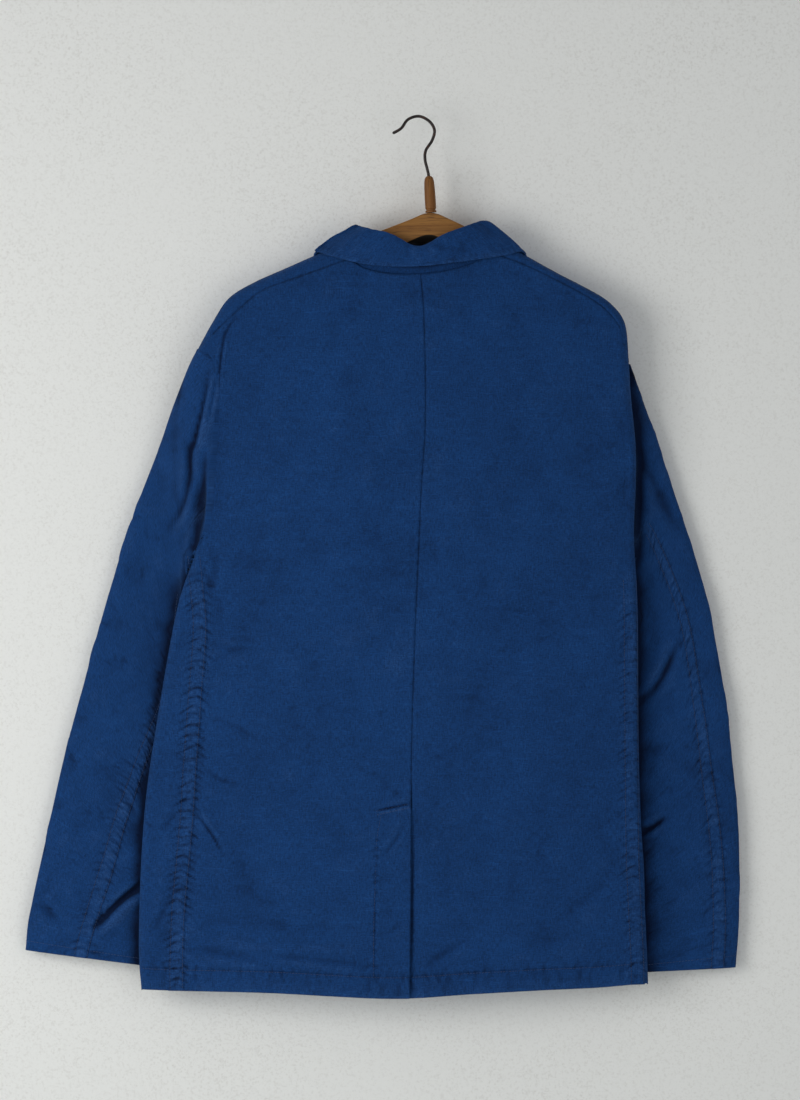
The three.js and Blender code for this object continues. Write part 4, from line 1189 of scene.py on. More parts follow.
def vent_lift(plan: Array) -> Array:
    """The vent's flap stands off a little along its edge (a negative sink)."""
    near = smooth((plan[..., 0] - centre_x(plan[..., 1]) + 16) / 16)
    return -1.1 * near * smooth((VENT_TOP - 6 - plan[..., 1]) / 60)


FLAP = Face(Side.BACK, BACK_RELIEF + (
    Fold(((-45, -692.5), (-26, -688.5), (-7, -685)), 2.2, 1.2, 1.6, 0.8, -0.4, 0.3, 1.5),
    Fold(((-40, -692), (-42.5, -735), (-44, -800), (-45, -866)), 1.7, 0.7, 1.6, 0.7, 0.0, 0.0, 0.9),
    Fold(((-12, -700), (-24, -722), (-40, -740)), 3, 0.9, 1.8, 0.6),
    Fold(((-13, -800), (-28, -812), (-42, -815)), 4, 0.8),
), vent_lift, BACK.seams, BACK.grooves)
BACK_SUNK = Face(Side.BACK, BACK_RELIEF, vent_sink, BACK.seams, BACK.grooves)
FRONT = Face(Side.FRONT, FRONT_RELIEF, seams=(HEM,))
FRONT_SUNK = Face(Side.FRONT, FRONT_RELIEF, front_sink, FRONT.seams)


@dataclass
class BodyPanels:
    """The two backs, with the vent, and the two fronts."""

    fine: float = 1.3
    coarse: float = 3.5
    margin: float = 40.0

    def back(self, half: Half, outer: Array, face: Face) -> Patch:
        """The main face of a back panel, from the centre seam out to its outer line.

        Args:
            half: the lines of its half.
            outer: its outer line.
            face: the face that it lies on.

        Returns:
            Its grid of cloth.
        """
        top = np.concatenate([half.neck, half.seam[1:]])
        z = np.concatenate([
            mix(top[0, 1], half.fold[-1, 1], even(ARM_ROWS)),
            mix(half.fold[-1, 1], CENTRE_BACK[-1][1], even(SIDE_ROWS)[1:]),
        ])
        inner = np.stack([centre_x(z), z], -1)
        hem_x = mix(inner[-1, 0], outer[-1, 0], shares(top))
        hem = np.stack([hem_x, hem_z(hem_x)], -1)
        columns = graded(260, self.fine, self.coarse, self.margin)
        return face.patch(filled(finer(top, columns), finer(hem, columns), inner, outer))

    def back_left(self) -> Piece:
        """The left back, out to the armhole and the side seam."""
        outer = np.concatenate([LEFT.arm_back, LEFT.side_seam[1:]])
        return Cloth("back_left").build([self.back(LEFT, outer, FLAP)])

    def back_right(self) -> Piece:
        """The right back, which turns round the side, with the vent's underlap.

        Returns:
            The mesh object.
        """
        fold = np.concatenate([RIGHT.fold, RIGHT.side[1:]])
        line = beside(fold, np.array([-1.0, 0]), 0)
        main = self.back(RIGHT, line, BACK_SUNK)
        side = BACK.patch(rim(fold, line))
        turned = FRONT.patch(rim(RIGHT.fold, RIGHT.arm_back))
        start = int(np.argmin(np.abs(main.grain[:, 0, 1] - VENT_TOP)))
        rows = main.grain[start:, 0]
        x = rows[:, :1] - VENT_UNDERLAP * graded(VENT_UNDERLAP, 1.2, 2.4, 10)[None]
        slope = (hem_z(x) - hem_z(rows[:, :1])) * smooth((VENT_TOP - rows[:, 1:]) / 180)
        under = BACK_SUNK.patch(np.stack([x, rows[:, 1:] + slope], -1))
        return Cloth("back_right").build([main, side, turned, under])

    def front(self, half: Half, face: Face, name: str) -> Piece:
        """A front: its main face, and its strips over the shoulder and round the side.

        Args:
            half: the lines of its half.
            face: the face that it lies on.
            name: its name.

        Returns:
            The mesh object.
        """
        side_line = beside(half.side, np.array([-half.sign, 0.0]), 0)
        outer = np.concatenate([half.arm_front, side_line[1:]])[::2]
        inner = front_edge(half)[::2]
        hem_x = mix(inner[-1, 0], outer[-1, 0], even(100))
        hem = np.stack([hem_x, hem_z(hem_x)], -1)
        columns = graded(250, 2.0, 4.2, self.margin)
        ridge_beside, ridge = finer(half.ridge_beside, columns), finer(half.ridge, columns)
        hem[-1] = outer[-1]
        patches = [
            face.patch(filled(ridge_beside, finer(hem, columns), inner, outer)),
            face.patch(rim(ridge, ridge_beside, 7)),
            BACK.patch(rim(ridge, finer(half.seam, columns), 7)),
            FRONT.patch(rim(half.side[::2], side_line[::2], 7)),
        ]
        if half is LEFT:
            patches.append(BACK.patch(rim(half.side, half.side_seam)))
        return Cloth(name).build(patches)

    def build(self) -> dict[str, Piece]:
        """Makes the four panels.

        Returns:
            The panels, by their nodes.
        """
        return {
            "back_left": self.back_left(), "back_right": self.back_right(),
            "front_left": self.front(LEFT, FRONT, "front_left"),
            "front_right": self.front(RIGHT, FRONT_SUNK, "front_right"),
        }


# ---- sleeves
@dataclass
class SleeveForm:
    """One sleeve as a surface: step counts its rings, turn goes round it from 0 to 1."""

    half: Half
    table: Rows
    armhole: Side
    relief: tuple[Relief, ...]
    bluntness: float = 0.84
    turns: int = 18
    front: float = 0.57
    front_corner: int = 11
    seam_lean: float = 0.05
    tuck_aside: float = 7.0
    tuck_in: float = 2.8
    step_gap: float = 0.03
    turn_gap: float = 0.004
    row_spacing: float = 2.3

    def read(self, step: Array, column: int) -> Array:
        """A column of the rings' table."""
        return table_value(range(len(self.table)), [row[column] for row in self.table], step)

    def ring(self, step: Array, turn: Array) -> Array:
        """A point of a ring: 0 at its outer end, then back, inner end and front.

        Args:
            step: ring counts.
            turn: shares of a full turn.

        Returns:
            The points (..., 3).
        """
        cos, sin = np.cos(2 * np.pi * turn), np.sin(2 * np.pi * turn)
        across = (1 - np.sign(cos) * np.abs(cos) ** self.bluntness) / 2
        x = mix(self.read(step, 0), self.read(step, 2), across)
        z = mix(self.read(step, 1), self.read(step, 3), across)
        y = self.read(step, 4) - self.read(step, 5) * np.sign(sin) * np.abs(sin) ** self.bluntness
        return np.stack([x, y, z], -1)

    def mouth(self, turn: Array) -> Array:
        """The armhole's line, round from the top down the back and up the front.

        Args:
            turn: shares of a full turn.

        Returns:
            The points (..., 3).
        """
        turn = np.asarray(turn) % 1.0
        share = (1 - np.cos(2 * np.pi * turn)) / 2
        points = []
        back, front = ((ARM_LEFT_BACK, ARM_LEFT_FRONT) if self.half is LEFT else
                       (ARM_RIGHT_BACK, ARM_RIGHT_FRONT))
        for rows, side in ((back, self.armhole), (front, Side.FRONT)):
            plan = Curve(rows).at(share)
            out = FORM.out(side, plan, np.maximum(FORM.inside(plan) - EDGE_GAP, 0))
            points.append(np.stack([plan[..., 0], side.value * out, plan[..., 1]], -1))
        mouth = np.where((turn < 0.5)[..., None], points[0], points[1])
        behind = 0.7 if self.half is RIGHT else 0.0
        return mouth + [self.half.sign * 0.7, behind, 0]

    def girth(self, step: Array) -> Array:
        """About how far it is round the sleeve at a ring."""
        return 2.0 * np.hypot(self.read(step, 0) - self.read(step, 2),
                              self.read(step, 1) - self.read(step, 3)) * 1.03

    def seam_turn(self, step: Array) -> Array:
        """How far round the seam on the back lies at a ring."""
        across = 1 - 2 * self.read(step, 6)
        return np.arccos(np.sign(across) * np.abs(across) ** (1 / self.bluntness)) / (2 * np.pi)

    def pace(self, step: Array) -> Array:
        """Millimetres across the back for each turn, where the back seam lies.

        Args:
            step: ring counts.

        Returns:
            The lengths, in millimetres.
        """
        across = np.abs(1 - 2 * self.read(step, 6))
        cos = np.clip(across, 0.05, 1) ** (1 / self.bluntness)
        rate = np.pi * self.bluntness * cos ** (self.bluntness - 1) * np.sqrt(1 - cos**2)
        return self.girth(step) / 2.06 * rate

    def borders(self, step: Array) -> tuple[Array, Array, Array]:
        """Turns of the front seam (before the start), the back seam and the front seam again.

        Args:
            step: ring counts.

        Returns:
            The three sets of turns.
        """
        settle = np.clip(step / 3, 0, 1) ** 2
        back_corner = round(float(self.seam_turn(np.array(0.0))) * self.turns) / self.turns
        front_corner = self.front_corner / self.turns
        back = mix(back_corner, self.seam_turn(step), settle)
        front = mix(front_corner, self.front + self.seam_lean, settle)
        return front - 1, back, front

    def base(self, step: Array, turn: Array) -> Array:
        """The sleeve without its relief; below step 0 it goes on under the armhole's edge.

        Args:
            step: ring counts.
            turn: shares of a full turn.

        Returns:
            The points (..., 3).
        """
        step, turn = np.broadcast_arrays(step, turn)
        under = np.minimum(step, 0)[..., None]
        step = np.maximum(step, 0)
        inwards = -np.ones_like(step)
        if self.armhole is Side.BACK:
            inwards = np.sin(2 * np.pi * turn)
        aside = np.full_like(step, -self.tuck_aside * self.half.sign)
        tuck = np.stack([aside, self.tuck_in * inwards, 0 * step], -1) * -under
        near = np.clip(1 - smooth(step / 1.6), 0, 1)[..., None]
        start = np.zeros_like(step)
        shift = self.mouth(turn) - self.ring(start, turn)
        return self.ring(step, turn) + shift * near + tuck

    def patch(self, step: Array, turn: Array, lift: float | Array = 0.0) -> Patch:
        """Cloth over a grid of steps and turns.

        Args:
            step: ring counts, broadcast with turn.
            turn: shares of a full turn.
            lift: how far it stands out.

        Returns:
            The grid of cloth.
        """
        step, turn = (np.array(v, float) for v in np.broadcast_arrays(step, turn))
        base = self.base(step, turn)
        low = np.maximum(step - self.step_gap, 0)
        high = np.minimum(np.maximum(step, 0) + self.step_gap, len(self.table) - 1)
        down = self.base(high, turn) - self.base(low, turn)
        round_it = self.base(step, turn + self.turn_gap) - self.base(step, turn - self.turn_gap)
        normals = unit(np.cross(round_it, down))
        middle = (self.ring(step, 0 * turn) + self.ring(step, 0 * turn + 0.5)) / 2
        normals = normals * np.sign(np.median(((base - middle) * normals).sum(-1)))
        plan = base[..., [0, 2]]
        facing = smooth(-normals[..., 1] / 0.5 + 0.15) + 0.7 * smooth(normals[..., 1] / 0.5 + 0.15)
        open_end = smooth((len(self.table) - 1 - step) / 0.25 + 0.35)
        calm = smooth(step / 0.35) * open_end * facing
        height, shade = pressed(self.relief, plan)
        thick = self.read(step, 5) * np.abs(np.sin(2 * np.pi * turn)) ** self.bluntness
        height = np.maximum(height * calm, -0.9 * thick * facing)
        shade = shade * np.minimum(facing * 1.2, 1)
        _, back, front = self.borders(step)
        seam_off = ((turn - back + 0.5) % 1 - 0.5) * self.pace(step)
        worn = np.exp(-((seam_off / BAND_REACH) ** 2))
        along = np.interp(step, np.arange(len(self.table)), self.down())
        pleat, dark = self.puckers(along, seam_off)
        height = height + pleat * calm
        # Painted shade of folds and pleats, weaker on faces turned away, and painted shadow under
        # the body's edge.
        shade = shade + dark * np.minimum(facing, 1) - 0.9 * self.painted_edge_shadow(plan, base[..., 1])
        points = base + normals * (height + lift)[..., None]
        span = self.girth(step) / 2
        cos = np.cos(2 * np.pi * turn)
        across = (1 - np.sign(cos) * np.abs(cos) ** self.bluntness) / 2
        across = np.where(turn < 0, -across, np.where(turn > 0.5, 2 - across, across))
        grain = np.stack([across * span, -along], -1)
        return Patch(points, normals, grain, shade, worn)

    def painted_edge_shadow(self, plan: Array, depth: Array) -> Array:
        """Painted shadow that the body's edge casts on the sleeve, strongest close under the edge.

        Args:
            plan: points of the plan (..., 2).
            depth: places along Y.

        Returns:
            Shares of painted shadow, from 0 where the sleeve is clear of the edge, rising close
            under it.
        """
        rows = FOLD_LEFT + SIDE_LEFT[1:] if self.half is LEFT else FOLD_RIGHT + SIDE_RIGHT[1:]
        away, _, _ = Curve(rows).nearest(plan, 30)
        wide = 8 + (5 * np.exp(-(((plan[..., 1] + 300) / 60) ** 2)) if self.half is RIGHT else 0)
        return 1.3 * np.exp(-((away / wide) ** 2)) * smooth(depth / 6)

    def puckers(self, along: Array, off: Array) -> Pair:
        """Pleats beside the seam on the back, from how far along and off it a point is.

        Args:
            along: lengths along the seam.
            off: how far off it, in millimetres.

        Returns:
            The heights and the shades.
        """
        pleats = Pucker(((0, 0), (1, 0)), 51 + self.half.sign, 7.0, 6.5, 0.22, 10.5, 0.5)
        fade = smooth((along - (40 if self.half is RIGHT else 130)) / 80)
        height, shade = pleats.profile(along, off)
        # Painted shade along the band's two stitch grooves, and a paler band between them.
        rows = np.exp(-(((np.abs(off) - 7) / 1.3) ** 2))
        band = 0.22 * smooth((9 - np.abs(off)) / 3) - 0.35 * rows
        return fade * (0.9 * height - 0.2 * rows), fade * (0.5 * shade + band)

    def down(self) -> Array:
        """How far down the sleeve's outer edge its rings lie."""
        return lengths(np.array(self.table)[:, :2])

    def steps(self, spacing: float) -> Array:
        """Ring counts at even spacing down the sleeve's outer edge."""
        down = self.down()
        return np.interp(even(int(down[-1] / spacing)) * down[-1], down, np.arange(len(down)))

    def piece(self, name: str, top: bool) -> Piece:
        """The top sleeve or the under sleeve, from one seam to the other.

        Args:
            name: its name.
            top: whether it is the top sleeve.

        Returns:
            The mesh object.
        """
        step = np.concatenate([[-1.0, -0.7, -0.4, -0.15], self.steps(self.row_spacing)])[:, None]
        before, back, front = self.borders(step)
        columns = graded(170 if top else 95, 1.4, 2.9, 22)[None]
        turn = mix(before, back, columns) if top else mix(back, front, columns)
        return Cloth(name).build([self.patch(step, turn)])


SLEEVES = {
    "left": SleeveForm(LEFT, SLEEVE_LEFT, Side.BACK, SLEEVE_LEFT_RELIEF),
    "right": SleeveForm(RIGHT, SLEEVE_RIGHT, Side.FRONT, SLEEVE_RIGHT_RELIEF),
}


# ---- collar and lapels
@dataclass
class Collar:
    """A stand up from the neck seam, and a fall that rolls over it."""

    turn: float = 6.4
    drop: float = 1.2
    reach: float = 1.06
    columns: int = 300
    belly: float = 1.3
    length: float = 560.0
    depth: float = 46.0
    stitch_row: float = 40.5

    def neck_seam(self, half: Half) -> Pair:
        """The neck seam of one half, front to middle, with its shares of the collar.

        Args:
            half: the lines of its half.

        Returns:
            The points and their shares.
        """
        sunk = front_sink if half is RIGHT else None
        edge = front_edge(half)[ARM_ROWS // 4:0:-4]
        over_front = rim(half.ridge[:1], half.ridge_beside[:1], 3)[:, 0][::-1]
        over_back = rim(half.ridge[:1], half.seam[:1], 3)[:, 0]
        front = Face(Side.FRONT, (), sunk)._base(np.concatenate([edge, over_front]))
        back = Face(Side.BACK, ())._base(over_back)
        neck = Face(Side.BACK, ())._base(half.neck[::-1])
        points, keys = [], []
        for part, low, high in ((front, 0, COLLAR_RIDGE), (back, COLLAR_RIDGE, COLLAR_SEAM),
                                (neck, COLLAR_SEAM, 0.5)):
            skip = 1 if points else 0
            points.append(part[skip:])
            keys.append(mix(low, high, shares(part))[skip:])
        return np.concatenate(points), np.concatenate(keys)

    def lines(self) -> tuple[Array, Array, Array, Array]:
        """Shares of the collar, and its roll, its edge and its foot there.

        Returns:
            The shares and three rows of points.
        """
        left, left_keys = self.neck_seam(LEFT)
        right, right_keys = self.neck_seam(RIGHT)
        feet = np.concatenate([left, right[::-1][1:]])
        keys = np.concatenate([left_keys, (1 - right_keys)[::-1][1:]])
        share = even(self.columns)
        foot = between(share, keys, feet)
        rows = np.array(COLLAR)
        roll = Curve(rows[:, :3]).at_rows(share)
        edge = Curve(rows[:, 3:]).at_rows(share)
        return share, roll, edge, foot

    def fall_profile(self, roll: Array, edge: Array, foot: Array) -> Array:
        """Rows of the fall from inside the roll, over it and down to the edge.

        Args:
            roll: the roll line.
            edge: the fall's edge.
            foot: the neck seam.

        Returns:
            The points (rows, columns, 3).
        """
        down = unit(foot - roll)
        out = edge - foot
        out = unit(out - down * (out * down).sum(-1, keepdims=True))
        start = roll + down * 2.2 - out * 0.4
        crest = roll + out * (self.turn * 0.42) - down * 0.5
        turned = roll + out * self.turn + down * (self.drop + 1.4)
        third = mix(turned, edge, 0.4) + out * self.belly
        most = mix(turned, edge, 0.75) + out * self.belly * 0.7
        knots = np.stack([start, crest, turned, third, most, edge])
        t = even(30) * 5
        k = np.minimum(t.astype(int), 4)
        s = (t - k)[:, None, None]
        padded = np.concatenate([2 * knots[:1] - knots[1:2], knots, 2 * knots[-1:] - knots[-2:-1]])
        a, b, c, d = (padded[k + i] for i in range(4))
        return 0.5 * (2 * b + (c - a) * s + (2 * a - 5 * b + 4 * c - d) * s**2
                      + (3 * b - a - 3 * c + d) * s**3)

    def grain(self, share: Array, down: Array) -> Array:
        """The weave's place on the collar, from the share along it and the place down it."""
        return np.stack(np.broadcast_arrays(share * self.length, down), -1)

    def fall(self) -> Patch:
        """The fall's grid of cloth.

        Returns:
            The grid of cloth.
        """
        share, roll, edge, foot = self.lines()
        points = self.fall_profile(roll, edge, foot)
        normals = crossed(points)
        outside = points - mix(roll, foot, 0.5)[None]
        normals = np.where((outside * normals).sum(-1, keepdims=True)[15:16] < 0, -normals, normals)
        plan = self.grain(share[None], even(30)[:, None] * self.depth)
        waves, shade = pressed((
            Ripples(61, 22, 90, 0.35), Ripples(62, 8, 20, 0.08),
            Fold(((258, 8), (272, 20), (268, 36)), 5, 0.9),
            Fold(((296, 10), (310, 24), (334, 34)), 5, 0.8),
            Fold(((200, 12), (222, 20), (246, 18)), 6, 0.7),
            Fold(((352, 16), (380, 26), (402, 28)), 6, 0.7),
        ), plan)
        left = self.depth - plan[..., 1]
        pleats = Pucker(((0, 41), (560, 41)), 63, 2.5, 7, 0.3, 7.5, 0.5)
        at_edge = np.exp(-(left / 14) ** 2)
        pleat, dark = pleats.profile(plan[..., 0], left)
        line = np.exp(-((plan[..., 1] - self.stitch_row) / 1.2) ** 2)
        height = (waves + 0.32 * at_edge * pleat) * smooth(plan[..., 1] / 10) - 0.35 * line
        # Painted shade in the stitch row's groove and in the pleats along the edge.
        shade = shade + 0.18 * at_edge * dark - 0.25 * line
        worn = np.exp(-(left / 6) ** 2) + 0.6 * np.exp(-((plan[..., 1] - 4) / 4) ** 2)
        return Patch(points + normals * height[..., None], normals, plan, shade,
                     np.clip(worn, 0, 1))

    def stand(self) -> Patch:
        """The stand's grid, from the neck seam up.

        Returns:
            The grid of cloth.
        """
        _, roll, _, foot = self.lines()
        down = unit(foot - roll)
        top = roll + down * (self.turn - 2.5)
        rows = even(9)[:, None, None] * self.reach
        points = mix(top[None], foot[None], rows)
        points[..., 1] += 1.6 * smooth(rows[..., 0] * 2 - 1) * np.sign(4 - points[..., 1])
        normals = crossed(points)
        outside = points - np.array([0, 20.0, -160.0])
        normals = np.where((outside * normals).sum(-1, keepdims=True)[4:5] < 0, -normals, normals)
        plan = self.grain(even(self.columns)[None], 100 + 30 * rows[..., 0])
        calm = np.zeros(points.shape[:-1])
        # Painted shade under the fall: darkest just below it, lighter towards the neck seam.
        shade = calm - mix(1.1, 0.25, smooth(rows[..., 0] * 4 - 2.4))
        return Patch(points, normals, plan, shade, calm)


@dataclass
class Lapel:
    """A lapel lying on its front, from its fold out to its edge."""

    sign: int
    spring: float = 2.2
    gap: float = 0.3

    def build(self) -> Piece:
        """Makes the lapel.

        Returns:
            The mesh object.
        """
        rows = np.array(LAPEL)
        v = np.linspace(0, 4, 60)[:, None]
        u = np.linspace(0, 1, 28)[None]
        fold_x, fold_z, edge_x, edge_z = (table_value(range(5), column, v) for column in rows.T)
        x = self.sign * mix(fold_x + self.gap, edge_x, u)
        plan = np.stack([x, mix(fold_z, edge_z, u)], -1)
        face = FRONT_SUNK if self.sign > 0 else FRONT
        patch = face.patch(plan)
        patch.points[..., 1] += LAYER + self.spring * np.sin(np.pi / 2 * u)
        patch.normals = crossed(patch.points)
        patch.normals = np.where(patch.normals[..., 1:2] < 0, -patch.normals, patch.normals)
        name = "lapel_left" if self.sign < 0 else "lapel_right"
        return Cloth(name, 1.3).build([patch])


# ---- bands, stitches and small parts
@dataclass
class Strip:
    """A narrow raised band of cloth laid over a seam."""

    name: str
    half: float = 8.0
    lift: float = 0.85
    pitch: float = 1.1

    def profile(self, across: Array) -> Array:
        """Height across the band: level, with edges that dip under the surface.

        Args:
            across: places from -1 to 1.

        Returns:
            The heights, in millimetres.
        """
        edge = np.clip((1 - np.abs(across)) * self.half / 1.4, 0, 1)
        seam = 0.3 * np.exp(-((np.abs(across) * self.half - self.half + 1.9) / 0.7) ** 2)
        return (self.lift + 0.5) * np.sqrt(1 - (1 - edge) ** 2) - 0.5 - seam

    def across(self) -> Array:
        """Places across the band, closer at its edges."""
        t = even(14) * 2 - 1
        return np.sign(t) * np.abs(t) ** 0.8

    def on_body(self, face: Face, path: Rows) -> Piece:
        """A band on the body, centred on a path of the plan.

        Args:
            face: the face under it.
            path: its middle line.

        Returns:
            The mesh object.
        """
        line = Curve(path)
        t = even(int(line.length / self.pitch))
        centre = line.at(t)
        run = unit(np.gradient(centre, axis=0))
        aside = np.stack([run[:, 1], -run[:, 0]], -1)
        v = self.across()[None]
        plan = centre[:, None] + aside[:, None] * (v * self.half)[..., None]
        edge = table_value(-np.array(SIDE_RIGHT)[:, 1], np.array(SIDE_RIGHT)[:, 0], -plan[..., 1])
        plan[..., 0] = np.minimum(plan[..., 0], edge - 0.5)
        grown = smooth(t * line.length / 70)[:, None]
        lift = self.profile(v) * grown - 0.6 * (1 - grown)
        return self.made(face.patch(plan, lift), v)

    def on_sleeve(self, form: SleeveForm, first: float) -> Piece:
        """A band on a sleeve, centred on its back seam, from a ring down to the cuff.

        Args:
            form: the sleeve under it.
            first: the ring at which it starts.

        Returns:
            The mesh object.
        """
        step = form.steps(self.pitch)
        step = step[step >= first][:, None]
        _, seam, _ = form.borders(step)
        v = self.across()[None]
        turn = seam + v * self.half / form.pace(step)
        grown = smooth((step - first) / 1.2)
        lift = self.profile(v) * grown - 0.6 * (1 - grown)
        return self.made(form.patch(step, turn, lift), v)

    def made(self, patch: Patch, across: Array) -> Piece:
        """The band's mesh, with painted shade along its two stitch grooves."""
        patch.tone = patch.tone - 0.4 * np.exp(-(((np.abs(across) - 0.8) * self.half / 0.8) ** 2))
        return Cloth(self.name, 0.7).build([patch])


@dataclass
class Stitches:
    """A row of machine stitches: short sunken loops of thread along a line."""

    pitch: float = 3.1
    length: float = 2.5
    radius: float = 0.24

    def along(self, points: Array, normals: Array) -> Pair:
        """Loops of thread along a line on the cloth.

        Args:
            points: the line, in millimetres.
            normals: the cloth's normals there.

        Returns:
            Corners, and faces as rows of four (a triangle repeats its last corner).
        """
        total = lengths(points)[-1]
        count = max(int(total / self.pitch), 1)
        starts = np.arange(count) * self.pitch / total
        stops = np.array([0.0, 0.2, 0.8, 1.0]) * self.length / total
        t = np.clip(starts[:, None] + stops, 0, 1)
        spine, up = between(t, shares(points), points), unit(between(t, shares(points), normals))
        side = unit(np.cross(unit(spine[:, 3:] - spine[:, :1]), up))
        spine = spine + up * np.array([-0.1, 0.16, 0.16, -0.1])[:, None]
        rings = [spine[:, k] + self.radius * (side[:, k] * a + up[:, k] * b)
                 for k in (1, 2) for a, b in ((1, 0), (0, 1), (-1, 0), (0, -1))]
        corners = np.stack([spine[:, 0], *rings, spine[:, 3]], axis=1)
        faces = []
        for k in range(4):
            n = (k + 1) % 4
            faces += [[0, 1 + k, 1 + n, 1 + n], [1 + k, 5 + k, 5 + n, 1 + n], [5 + k, 9, 9, 5 + n]]
        faces = np.array(faces)[None] + (np.arange(count) * 10)[:, None, None]
        return corners.reshape(-1, 3), faces.reshape(-1, 4)


@dataclass
class StitchRows:
    """All the stitch rows of one piece of thread work, joined in one mesh."""

    name: str
    rows: list[Pair] = field(default_factory=list)

    def add_line(self, points: Array, normals: Array, stitch: Stitches = Stitches()) -> None:
        """Adds a row along a line on the cloth."""
        self.rows.append(stitch.along(points, normals))

    def add_body(self, face: Face, path: Rows, lift: float = 0.0,
                 stitch: Stitches = Stitches()) -> None:
        """Adds a row on the body along a path of the plan.

        Args:
            face: the face under it.
            path: its line.
            lift: how far it stands out.
            stitch: the stitch.
        """
        line = Curve(path)
        plan = line.at(even(int(line.length / 1.5)))[:, None]
        plan = np.repeat(plan, 2, axis=1)
        patch = face.patch(plan, lift)
        self.add_line(patch.points[:, 0], patch.normals[:, 0], stitch)

    def add_sleeve(self, form: SleeveForm, first: float, off: float, lift: float) -> None:
        """Adds a row down a sleeve, at a distance off its back seam.

        Args:
            form: the sleeve under it.
            first: the ring at which it starts.
            off: how far off the seam it lies, in millimetres.
            lift: how far it stands out.
        """
        step = form.steps(1.5)
        step = step[step >= first][:, None]
        _, seam, _ = form.borders(step)
        turn = seam + off / form.pace(step)
        patch = form.patch(np.repeat(step, 2, 1), np.repeat(turn, 2, 1), lift)
        self.add_line(patch.points[:, 0], patch.normals[:, 0])

    def add_cuff(self, form: SleeveForm, up: float) -> None:
        """Adds a row round a sleeve, at a height above its cuff.

        Args:
            form: the sleeve under it.
            up: the height above the cuff, in millimetres.
        """
        ends = np.array(form.table)[-2:, :4].reshape(2, 2, 2).mean(1)
        step = len(form.table) - 1 - up / np.linalg.norm(ends[1] - ends[0])
        turn = even(240)[:, None]
        patch = form.patch(np.full_like(np.repeat(turn, 2, 1), step), np.repeat(turn, 2, 1))
        self.add_line(patch.points[:, 0], patch.normals[:, 0])

    def build(self) -> Piece:
        """Joins the rows in one mesh.

        Returns:
            The mesh object.
        """
        points, faces, start = [], [], 0
        for corners, quads in self.rows:
            points.append(corners)
            faces.append(quads + start)
            start += len(corners)
        faces = [tuple(dict.fromkeys(q)) for q in np.concatenate(faces).tolist()]
        piece = meshed(self.name, np.concatenate(points), faces)
        piece.data.polygons.foreach_set("use_smooth", np.ones(len(faces), bool))
        piece.data.update()
        return piece


# ---- shader boards and groups
class Board:
    """A node tree as it is laid out."""

    def __init__(self, tree: bpy.types.NodeTree) -> None:
        """Takes an empty tree.

        Args:
            tree: the tree to lay nodes in.
        """
        self.tree = tree
        self.laid = 0

    def put(self, kind: str, inputs: dict | None = None, **settings: object) -> Node:
        """Adds a node.

        Args:
            kind: the node's type, such as ShaderNodeMath.
            inputs: values or output sockets, by the input's name or number.
            settings: attributes of the node.

        Returns:
            The node.
        """
        node = self.tree.nodes.new(kind)
        node.location = (200 * (self.laid % 8), -240 * (self.laid // 8))
        self.laid += 1
        for key, value in settings.items():
            setattr(node, key, value)
        for key, value in (inputs or {}).items():
            self.join(value, node.inputs[key])
        return node

    def join(self, value: object, socket: Socket) -> None:
        """Links an output to a socket, or sets the socket to a value.

        Args:
            value: an output, or a value.
            socket: the input that takes it.
        """
        if isinstance(value, Socket):
            self.tree.links.new(value, socket)
        else:
            socket.default_value = value

    def maths(self, kind: str, *values: object) -> Socket:
        """The result of a Math node."""
        return self.put("ShaderNodeMath", dict(enumerate(values)), operation=kind).outputs[0]

    def summed(self, *terms: tuple[object, float]) -> Socket:
        """The sum of values, each times its weight.

        Args:
            terms: pairs of a value and its weight.

        Returns:
            The sum.
        """
        total, *others = (self.maths("MULTIPLY", value, weight) for value, weight in terms)
        for other in others:
            total = self.maths("ADD", total, other)
        return total

    def noise(self, vector: object, scale: float, detail: float = 3.0,
              rough: float = 0.55) -> Socket:
        """A noise value about 0.5."""
        inputs = {"Vector": vector, "Scale": scale, "Detail": detail, "Roughness": rough}
        return self.put("ShaderNodeTexNoise", inputs).outputs[0]

    def stretched(self, vector: object, sizes: Sequence[float], turn: float = 0.0) -> Socket:
        """A vector scaled along its axes and turned about Z."""
        inputs = {"Vector": vector, "Scale": tuple(sizes), "Rotation": (0, 0, turn)}
        return self.put("ShaderNodeMapping", inputs).outputs[0]

    def ranged(self, value: object, low: float, high: float, to_low: float = 0.0,
               to_high: float = 1.0) -> Socket:
        """A value taken from one range to another and held inside it."""
        inputs = {0: value, 1: low, 2: high, 3: to_low, 4: to_high}
        return self.put("ShaderNodeMapRange", inputs).outputs[0]

    def blended(self, share: object, a: object, b: object, kind: str = "MIX") -> Socket:
        """Two colours mixed by a share.

        Args:
            share: how much of the second.
            a: the first colour.
            b: the second colour.
            kind: the way of mixing.

        Returns:
            The colour.
        """
        node = self.put("ShaderNodeMix", data_type="RGBA", blend_type=kind)
        self.join(share, node.inputs[0])
        self.join(a, node.inputs[6])
        self.join(b, node.inputs[7])
        return node.outputs[2]


